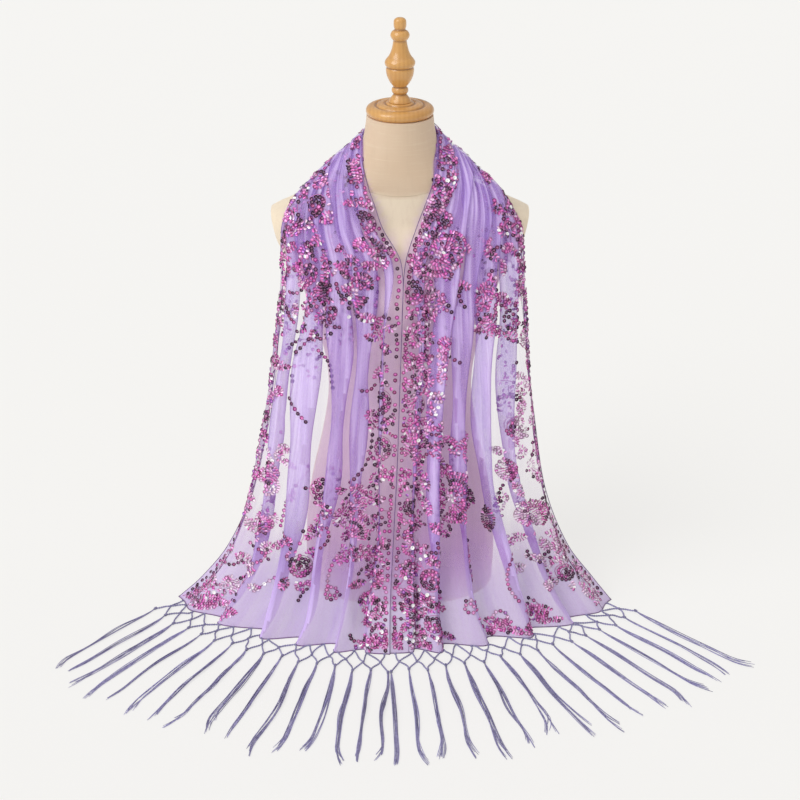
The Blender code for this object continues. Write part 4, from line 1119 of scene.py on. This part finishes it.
def leg(heap, start, end):
    """A plied thread over the floor from one place to another, wandering a little to its sides."""
    bow, wave, shade = chance.normal(0, 0.0012), chance.normal(0, 0.0008), chance.uniform(0.85, 1.15)
    steps = 9
    t = np.linspace(0, 1, steps)[:, None]
    side = np.array([-(end - start)[1], (end - start)[0]])
    side = side / max(np.linalg.norm(side), 1e-9)
    line = start + (end - start) * t + side * (np.sin(t * math.pi) * bow + np.sin(t * math.tau) * wave)
    path = np.column_stack([line, np.full(steps, YARN_RADIUS * 1.85 + FLOOR_GAP)])
    plied(heap, path, YARN_RADIUS, PLY_PITCH, (shade,) * 3)


def knot(heap, place, turn, size, shade):
    """A tight knot: three turns of yarn round the cord."""
    out = np.array([math.cos(turn), math.sin(turn), 0.0])
    side = np.array([-out[1], out[0], 0.0])
    for i, wide in ((-1, 0.8), (0, 1.0), (1, 0.8)):
        around = np.linspace(0, math.tau, 9)
        middle = np.array([place[0], place[1], size * 0.95]) + out * size * 0.75 * i
        radius = size * 0.62 * wide
        ring = [middle + radius * (math.cos(a) * side + math.sin(a) * np.array([0, 0, 1.0])) for a in around]
        heap.tube(ring, size * 0.42, 5, (shade,) * 3)


def tassel(heap, place, out, length, threads):
    """Loose threads from a knot, in two or three locks that part and meet again and end in curled tips."""
    side = np.array([-out[1], out[0]])
    t = np.linspace(0, 1, TASSEL_STEPS)

    def wander(size, least, most):
        """A wave of this size, with a pitch and a start of its own."""
        size = chance.normal(0, size)
        return size * np.sin(t * math.tau * chance.uniform(least, most) + chance.uniform(0, 6))

    sway = chance.normal(0, 0.0022) * np.sin(t * math.pi * 1.1)
    sway += chance.normal(0, 0.0010) * np.sin(t * math.tau * 1.4)
    curl = chance.normal(0, 0.0050)
    locks = []
    for lock in range(chance.integers(2, 4)):
        apart = (lock - 0.7) * chance.uniform(0.0018, 0.0036) * np.sin(np.clip(t * 3.0, 0, 1) * math.pi / 2)
        weave = wander(0.0014, 0.8, 1.8) * t
        tip = (curl + chance.normal(0, 0.0030)) * np.clip((t - 0.82) / 0.18, 0, 1) ** 2
        locks.append((apart + weave + tip, 1 - abs(chance.normal(0, 0.06))))
    least = THREAD_RADIUS + FLOOR_GAP
    radius = THREAD_RADIUS * (1.15 - 0.30 * t) * np.where(t > 0.96, 0.6, 1.0)
    for i in range(threads):
        path, share = locks[i % len(locks)]
        own = wander(0.0006, 1.0, 3.0) + chance.normal(0, 0.0009) * np.clip(t * 8, 0, 1)
        reach = length * share * (1 - abs(chance.normal(0, 0.03)))
        flat = place + out * (0.0012 + reach * t)[:, None] + side * (sway + path + own)[:, None]
        height = least + 0.0008 * (i // len(locks)) * np.sin(np.clip(t * 1.2, 0, 1) * math.pi) ** 2
        height = np.maximum(height, least) + 0.0012 * np.exp(-t * 30)
        shade = chance.uniform(0.65, 1.35)
        tint = (shade, shade, shade * chance.uniform(0.95, 1.1))
        heap.tube(np.column_stack([flat, height]), radius, 4, tint)


def fringe(name, cloth, row, side, material):
    """The fringe of one hem: legs from the hem to two rows of knots, and a tassel from each of the last."""
    hem = HemLine(cloth, cloth.along[row], side)
    edge = cloth.grid[row, ::4, :2]
    heap = Heap()

    def row_of_knots(count, first_share, distance):
        uneven = [1 + 0.08 * math.sin(2.3 * i + 5.0 * distance / FIRST_KNOTS) for i in range(count)]
        return [hem.place(first_share + i / TASSELS, distance * uneven[i]) for i in range(count)]

    roots = []
    root = 0
    for i in range(TASSELS + 1):
        target = hem.place((i + 0.3) / (TASSELS + 0.6), 0)
        out = hem.heading(i / TASSELS)
        away = edge[root + 1 : len(edge) - 1 - TASSELS + i] - target
        root += 1 + int(np.argmin(np.linalg.norm(away, axis=1) - CREST_PULL * (away @ out)))
        roots.append(edge[root] + out * 0.0016)
    first = row_of_knots(TASSELS, 0.5 / TASSELS, FIRST_KNOTS)
    second = row_of_knots(TASSELS + 1, 0.0, SECOND_KNOTS)
    for i, place in enumerate(first):
        for other in (roots[i], roots[i + 1], second[i], second[i + 1]):
            leg(heap, other, place)
        knot(heap, place, hem.side * 0.4 + math.pi / 2, 0.0021, 0.85)
    for place in roots:
        knot(heap, place, 0.3, 0.0016, 0.9)
    for i, place in enumerate(second):
        length = TASSEL_LENGTH * (1 + 0.05 * math.sin(1.7 * i + hem.side))
        out = hem.heading(i / TASSELS)
        knot(heap, place, math.atan2(*out[::-1]), 0.0025, 0.8)
        tassel(heap, place, out, length, round(TASSEL_THREADS - 4 * (i / TASSELS) ** 2))
    return heap.piece(name, material)


# Sequins: rows of them are sewn on the flat cloth, and then laid on its folds


def off(place, reach, turn):
    """The place so far from another, in the direction of the turn."""
    return (place[0] + reach * math.cos(turn), place[1] + reach * math.sin(turn))


def ahead_of(foot, turn, x, y):
    """Places from a foot, x ahead of it in the direction of the turn and y to its side."""
    cos, sin = math.cos(turn), math.sin(turn)
    return np.stack([foot[0] + x * cos - y * sin, foot[1] + x * sin + y * cos], 1)


def swell(length):
    """Places along a leaf, and how wide it is there."""
    x = np.linspace(0, length, 14)
    return x, np.maximum(np.sin(math.pi * x / length), 0)


class Embroidery:
    """The sequins' places on the flat cloth, metres across and along, and their tints."""

    def __init__(self, length):
        self.length = length
        self.sewn = []
        self.stitched = []
        self.taken = {}
        self.clear = []  # round places where nothing is strewn
        self.strewing = False

    def sequin(self, place, blend, room=SEQUIN_ROOM, turn=None):
        """Sews one sequin, where it is on the cloth and there is room for it."""
        across, along = place
        if not (EDGE_BARE < across < CUT_WIDTH - EDGE_BARE and HEM_BARE < along < self.length - HEM_BARE):
            return
        if self.strewing and any(math.dist(place, spot) < reach for spot, reach in self.clear):
            return
        cell = (int(across / SEQUIN_ROOM), int(along / SEQUIN_ROOM))
        near = [self.taken.get((cell[0] + i, cell[1] + j), ()) for i in (-1, 0, 1) for j in (-1, 0, 1)]
        if any(math.dist(other, place) < room for others in near for other in others):
            return
        self.taken.setdefault(cell, []).append(place)
        names, weights = zip(*BLENDS[blend].items())
        tint = TINTS[names[chance.choice(len(names), p=np.array(weights) / sum(weights))]]
        self.sewn.append((place, tint, turn))

    def row(self, places, pitch, blend, stitched=False):
        """Sequins at an even pitch along a line of places, over a stitched line."""
        if stitched:
            self.stitched.append(places)
        steps = np.diff(places, axis=0)
        far = reached(places)
        turns = np.unwrap(np.arctan2(steps[:, 1], steps[:, 0]))
        tight = pitch < TIGHT_PITCH
        room = ROW_ROOM if tight else SEQUIN_ROOM
        for at in np.arange(0, far[-1] + pitch / 2, pitch):
            narrow = tight and chance.random() < NARROW_SHARE
            turn = np.interp(at, far[1:], turns) + math.pi / 2 if narrow else None
            self.sequin(tuple(np.interp(at, far, values) for values in places.T), blend, room, turn)

    def around(self, middle, radius, start, end, pitch, blend, stitched=False):
        """Sequins along an arc."""
        angles = np.linspace(start, end, max(4, int(abs(end - start) * radius / 0.003)))
        places = [middle[0] + radius * np.cos(angles), middle[1] + radius * np.sin(angles)]
        self.row(np.stack(places, 1), pitch, blend, stitched)

    def rose(self, middle, radius, turn, blend):
        """A round flower wound from its middle, darker on one side, with a stitched rim."""
        self.clear.append((middle, radius + ROSE_CLEAR))
        far, angle = 0.0, 1.2
        while far < radius:
            far = ROSE_WIND * angle / math.tau
            tone = "dark" if math.cos(angle - turn) > 0.15 else blend
            self.sequin(off(middle, far, angle), tone)
            angle += SEQUIN_ROOM / max(far, 0.0020)
        for share in (0.35, 0.70, 1.0):
            self.around(middle, radius * share, turn, turn + math.tau, 1.0, blend, True)

    def peony(self, middle, radius, turn, blend):
        """A large flower of three fans of arcs round a small heart."""
        for fan, spread in ((0.0, 1.05), (2.1, 0.95), (-2.1, 0.95)):
            facing = turn + fan
            heart = off(middle, 0.2 * radius, facing)
            for i in range(1, int(radius * 0.85 / FILLED_PITCH) + 1):
                tone = "dark" if i % 4 == 0 else blend if i % 2 else "red"
                arc = (i * FILLED_PITCH, facing - spread, facing + spread)
                self.around(heart, *arc, LEAF_PITCH, tone, i % 3 == 0)
        # A ring of mostly painted glints round the heart
        self.around(middle, 0.0050, 0, math.tau, 0.0058, "mostly painted glints")

    def leaf(self, foot, length, turn, blend, width=0.42, shaded=None):
        """A pointed leaf filled with bowed rows, from its foot; shaded names another blend for one side."""
        x, wide = swell(length)
        rows = max(2, round(width * length / FILLED_PITCH) + 1)
        for i in range(rows):
            y = (2 * i / (rows - 1) - 1) * width * length * wide**0.8 * 0.5
            tone = shaded if shaded and i < rows / 3 else blend
            self.row(ahead_of(foot, turn, x, y), LEAF_PITCH, tone)

    def petal(self, foot, length, turn, blend):
        """A broad petal, filled, dark on one side, with a stitched rim."""
        self.leaf(foot, length, turn, blend, 0.80, "red" if blend == "light" else "dark")
        x, wide = swell(length)
        for side in (-1, 1):
            self.stitched.append(ahead_of(foot, turn, x, side * 0.46 * length * wide**0.8))

    def blossom(self, middle, radius, turn, blend):
        """A small flower of five round petals."""
        for facing in turn + full_turn(5):
            heart = off(middle, radius * 0.62, facing)
            self.around(heart, radius * 0.38, facing - 2.4, facing + 2.4, 0.0050, blend)
        # Its middle: mostly a painted glint
        self.sequin(middle, "mostly painted glints")

    def scroll(self, middle, radius, turn, blend):
        """A hooked line that winds inwards."""
        angles = np.linspace(0, 1.35 * math.tau, 30)
        reach = radius * (1 - 0.62 * angles / angles[-1])
        places = [middle[0] + reach * np.cos(turn + angles), middle[1] + reach * np.sin(turn + angles)]
        self.row(np.stack(places, 1), 0.0080, blend, True)

    def stem(self, foot, length, turn, blend, bow=0.16, pitch=0.0090):
        """A single row on a bowed line."""
        x = np.linspace(0, length, 14)
        y = bow * length * np.sin(math.pi * x / length)
        self.row(ahead_of(foot, turn, x, y), pitch, blend, True)

    def sprig(self, foot, length, turn, blend):
        """A stem with pairs of small leaves."""
        self.stem(foot, length, turn, blend, 0.0, 0.0070)
        for i in range(1, 5):
            node = off(foot, length * i / 5, turn)
            for lean in (-0.9, 0.9):
                self.leaf(node, length * (0.46 - 0.05 * i), turn + lean, blend)

    def bed(self, low_across, low_along, high_across, high_along, count, blend):
        """Short rows, leaves, curls and small flowers, strewn over a part of the cloth."""
        for _ in range(count):
            place = (chance.uniform(low_across, high_across), chance.uniform(low_along, high_along))
            turn, size = chance.uniform(0, math.tau), chance.uniform(0.75, 1.25)
            kind = chance.integers(0, 10)
            if kind < 5:
                self.leaf(place, 0.024 * size, turn, blend, chance.uniform(0.3, 0.7))
            elif kind < 7:
                for radius in (0.003, 0.0085):
                    self.around(place, radius * size, turn, turn + chance.uniform(3.0, 6.0), 0.0046, blend)
            elif kind < 9:
                self.stem(place, 0.030 * size, turn, "dark", chance.uniform(-0.3, 0.3), 0.0076)
            elif chance.random() < 0.6:
                # Now and then a single sequin, mostly a painted glint
                self.sequin(place, "mostly painted glints")

    def border(self):
        """The rows along both edges, and the outer edge's running stem with its clusters."""
        for across, pitch, blend in EDGE_ROWS:
            for along in np.arange(0.01, self.length - 0.01, pitch):
                if chance.random() < 0.85:
                    place = (across + chance.normal(0, 0.0010), along + chance.normal(0, 0.0012))
                    self.sequin(place, blend)
        middle = CUT_WIDTH - BORDER_MIDDLE
        at = np.arange(0.01, self.length - 0.01, 0.002)
        wave = middle + 0.006 * np.sin(at / BORDER_PITCH * math.tau)
        self.row(np.stack([wave, at], 1), 0.0100, "soft", True)
        for i in range(int(self.length / BORDER_PITCH)):
            along = (i + 0.5) * BORDER_PITCH
            side = 1 if i % 2 else -1
            self.blossom((middle + side * 0.004, along), 0.011, i, "red" if i % 3 else "dark")
            self.leaf((middle, along + 0.026), 0.026, math.pi / 2 + side * 0.5, "pink")
            self.leaf((middle, along - 0.024), 0.024, -math.pi / 2 - side * 0.5, "mixed")

    def threads(self, name, cloth, start, end, material):
        """The stitched lines between two places along the stole, as one joined mesh."""
        heap = Heap()
        for line in self.stitched:
            inside = (line[:, 0] > SEAM_ROOM) & (line[:, 0] < CUT_WIDTH - SEAM_ROOM)
            inside &= (line[:, 1] >= start + SEAM_ROOM) & (line[:, 1] < end - SEAM_ROOM)
            if inside.sum() < 3:
                continue
            middle = cloth.spot(*line[inside][inside.sum() // 2])[0]
            if chance.random() < COVERED_BARE and cloth.covered(middle):
                continue
            path = cloth.lifted(line[inside], STITCH_LIFT)
            heap.tube(path, STITCH_RADIUS, 3, (chance.uniform(0.35, 1.3),) * 3)
        return heap.piece(name, material)

    def piece(self, name, cloth, start, end, material):
        """The sequins between two places along the stole, as one joined mesh."""
        heaps = {cup: [[], [], []] for cup in (ROUND_CUP, NARROW_CUP)}
        for place, tint, turn in self.sewn:
            if not start <= place[1] < end:
                continue
            point, normal, lengthwise = cloth.spot(*place)
            if chance.random() < COVERED_BARE and cloth.covered(point):
                continue
            tilt = chance.normal(0, 0.16, 2)
            crosswise = unit(cloth.crosswise)
            normal = unit(normal + crosswise * tilt[0] + lengthwise * tilt[1])
            heading = chance.uniform(0, math.tau) if turn is None else turn + chance.normal(0, 0.15)
            length = crosswise * math.cos(heading) + lengthwise * math.sin(heading)
            length = unit(length - normal * length.dot(normal))
            width = np.cross(normal, length)
            if turn is not None:
                width = width * NARROW_WIDTH * chance.uniform(0.75, 1.25)
            radius = SEQUIN_RADIUS * chance.uniform(0.92, 1.05)
            # glow: a random brightness per sequin, partly its own tone and partly painted light for how each
            # one catches the lamps
            glow = chance.uniform(0.6, 1.3)
            # glint: a sequin painted white all over, a painted glint
            glint = min(tint) > 0.9
            cup = ROUND_CUP if turn is None else NARROW_CUP
            turns = full_turn(cup.sides)
            circle = np.cos(turns)[:, None] * length + np.sin(turns)[:, None] * width
            # side: which side of a leaning sequin gets the painted shade (-1) and the painted highlight (+1)
            side = np.zeros((cup.sides, 1)) if turn is None else np.sin(turns)[:, None]
            points, tints, places = heaps[cup]
            for ring_radius, height, shade, light in cup.rings:
                ring = ring_radius * circle + height * normal
                points.append(point + normal * SEQUIN_LIFT + radius * ring)
                light = 1.0 if glint else light * (0.4 + 0.6 * max(tint))
                # Painted highlight on one side of a leaning sequin, painted shade on the other
                light = light + CRESCENT_LIGHT * np.maximum(side, 0) * (1 - light)
                shade = shade * glow * (1 + CRESCENT_SHADE * side)
                # Painted highlight: pale light mixed into the middle, white all over for a painted glint
                painted_highlight = (1.0 if glint else SEQUIN_PAINTED_HIGHLIGHT) * light
                tints.append(np.clip(np.array(tint) * shade * (1 - light) + painted_highlight, 0, 1))
                places.append(np.stack([np.cos(turns), np.sin(turns)], 1) * ring_radius * radius)
        faces, done = [], 0
        for cup, kept in heaps.items():
            each = len(cup.rings) * cup.sides
            starts = done + np.arange(len(kept[0]) // len(cup.rings)) * each
            faces += (starts[:, None, None] + ring_faces(len(cup.rings), cup.sides)).reshape(-1, 4).tolist()
            done += len(starts) * each
        points, tints, places = (np.concatenate(first + second) for first, second in zip(*heaps.values()))
        return new_piece(name, points, faces, material, places, tints)


def sewn_design(length):
    """The whole stole's sequins."""
    work = Embroidery(length)
    for place in FLASHES:
        # Painted glints: single sequins painted white where they catch the light
        work.sequin(place, "painted glints only")
    for kind, across, along, size, turn, blend in MOTIFS:
        getattr(work, kind)((across, along), size, math.radians(turn), blend)
    work.border()
    work.strewing = True
    for bed in BEDS:
        work.bed(*bed)
    return work


# The scene


def studio():
    """A pale floor, soft light all round and the camera."""
    scene = bpy.context.scene

    def stood(name, data, place=(0, 0, 0), turn=(0, 0, 0)):
        thing = bpy.data.objects.new(name, data)
        thing.location = place
        thing.rotation_euler = turn
        scene.collection.objects.link(thing)
        return thing

    lens = bpy.data.cameras.new("camera")
    lens.lens = CAMERA_LENS
    lens.sensor_width = CAMERA_SENSOR
    scene.camera = stood("camera", lens, CAMERA_PLACE, (math.pi / 2 - CAMERA_DIP, 0, 0))
    scene.view_settings.view_transform = "Standard"
    scene.world = bpy.data.worlds.new("studio")
    scene.world.use_nodes = True
    sky = scene.world.node_tree.nodes["Background"].inputs
    sky["Color"].default_value = SKY
    sky["Strength"].default_value = SKY_STRENGTH
    for name, energy, angle, turn in LAMPS:
        light = bpy.data.lights.new(name, "SUN")
        light.energy = energy
        light.angle = math.radians(angle)
        stood(name, light, turn=[math.radians(degrees) for degrees in turn])
    floor = bpy.data.meshes.new("floor")
    signs = ((-1, -1), (1, -1), (1, 1), (-1, 1))
    corners = [(x * FLOOR_REACH, y * FLOOR_REACH, -FLOOR_DROP) for x, y in signs]
    floor.from_pydata(corners, [], [(0, 1, 2, 3)])
    floor.materials.append(plain_finish("pale_floor", FLOOR_COLOUR, FLOOR_GLOW))
    stood("floor", floor)


def main():
    studio()
    net, linen, wood = net_finish(), linen_finish(), wood_finish()
    yarn = yarn_finish("fringe_yarn_twist", (0.215, 0.198, 0.375), (0.375, 0.350, 0.565), 0.0032)
    overlock = yarn_finish("overlock_thread", (0.160, 0.080, 0.220), (0.290, 0.160, 0.380), 0.0016)
    stitch = yarn_finish("embroidery_thread", (0.560, 0.120, 0.400), (0.820, 0.300, 0.620), 0.0030)
    seam_thread = yarn_finish("seam_thread", (0.60, 0.47, 0.32), (0.74, 0.60, 0.43), 0.002)
    cover, tree = form_cover(linen)
    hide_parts("dress_form")
    neck_seam(tree, seam_thread)
    for name, node, profile, foot in (
        ("neck_cap_turned", "neck_cap", CAP_PROFILE, CAP_FOOT),
        ("finial_turned", "finial", FINIAL_PROFILE, FINIAL_FOOT),
    ):
        piece = turned_piece(name, profile, foot, wood)
        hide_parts(node)
    cloth = Cloth(tree)
    veil(cover, cloth)
    cuts = [cloth.along[i] for i in cloth.cuts]
    work = sewn_design(cloth.length)
    for number, (place, held, fringed) in enumerate(STRETCHES):
        piece = cloth.stretch(f"net_{place}", number, net)
        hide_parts(f"stole_{place}")
        start, end = cuts[number], cuts[number + 1]
        heap = Heap()
        for across in (0.0, CUT_WIDTH):
            heap.tube(cloth.line(across, start, end, ROW_STEP), OVERLOCK_RADIUS, 5)
        for across in GUIDE_LINES:
            heap.tube(cloth.line(across, start, end, ROW_STEP * 1.5, GUIDE_RADIUS), GUIDE_RADIUS, 4)
        if fringed:
            heap.tube(cloth.grid[fringed[1], ::2] + (0, 0, HEM_LIFT), HEM_RADIUS, 5)
        extras = [
            heap.piece(f"overlock_{place}", overlock),
            work.piece(f"sequins_{place}", cloth, start, end, sequin_finish()),
            work.threads(f"stitching_{place}", cloth, start, end, stitch),
        ]
        if fringed:
            label, row, side = fringed
            extras.append(fringe(f"fringe_{label}_yarns", cloth, row, side, yarn))
            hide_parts(f"fringe_{label}")


main()
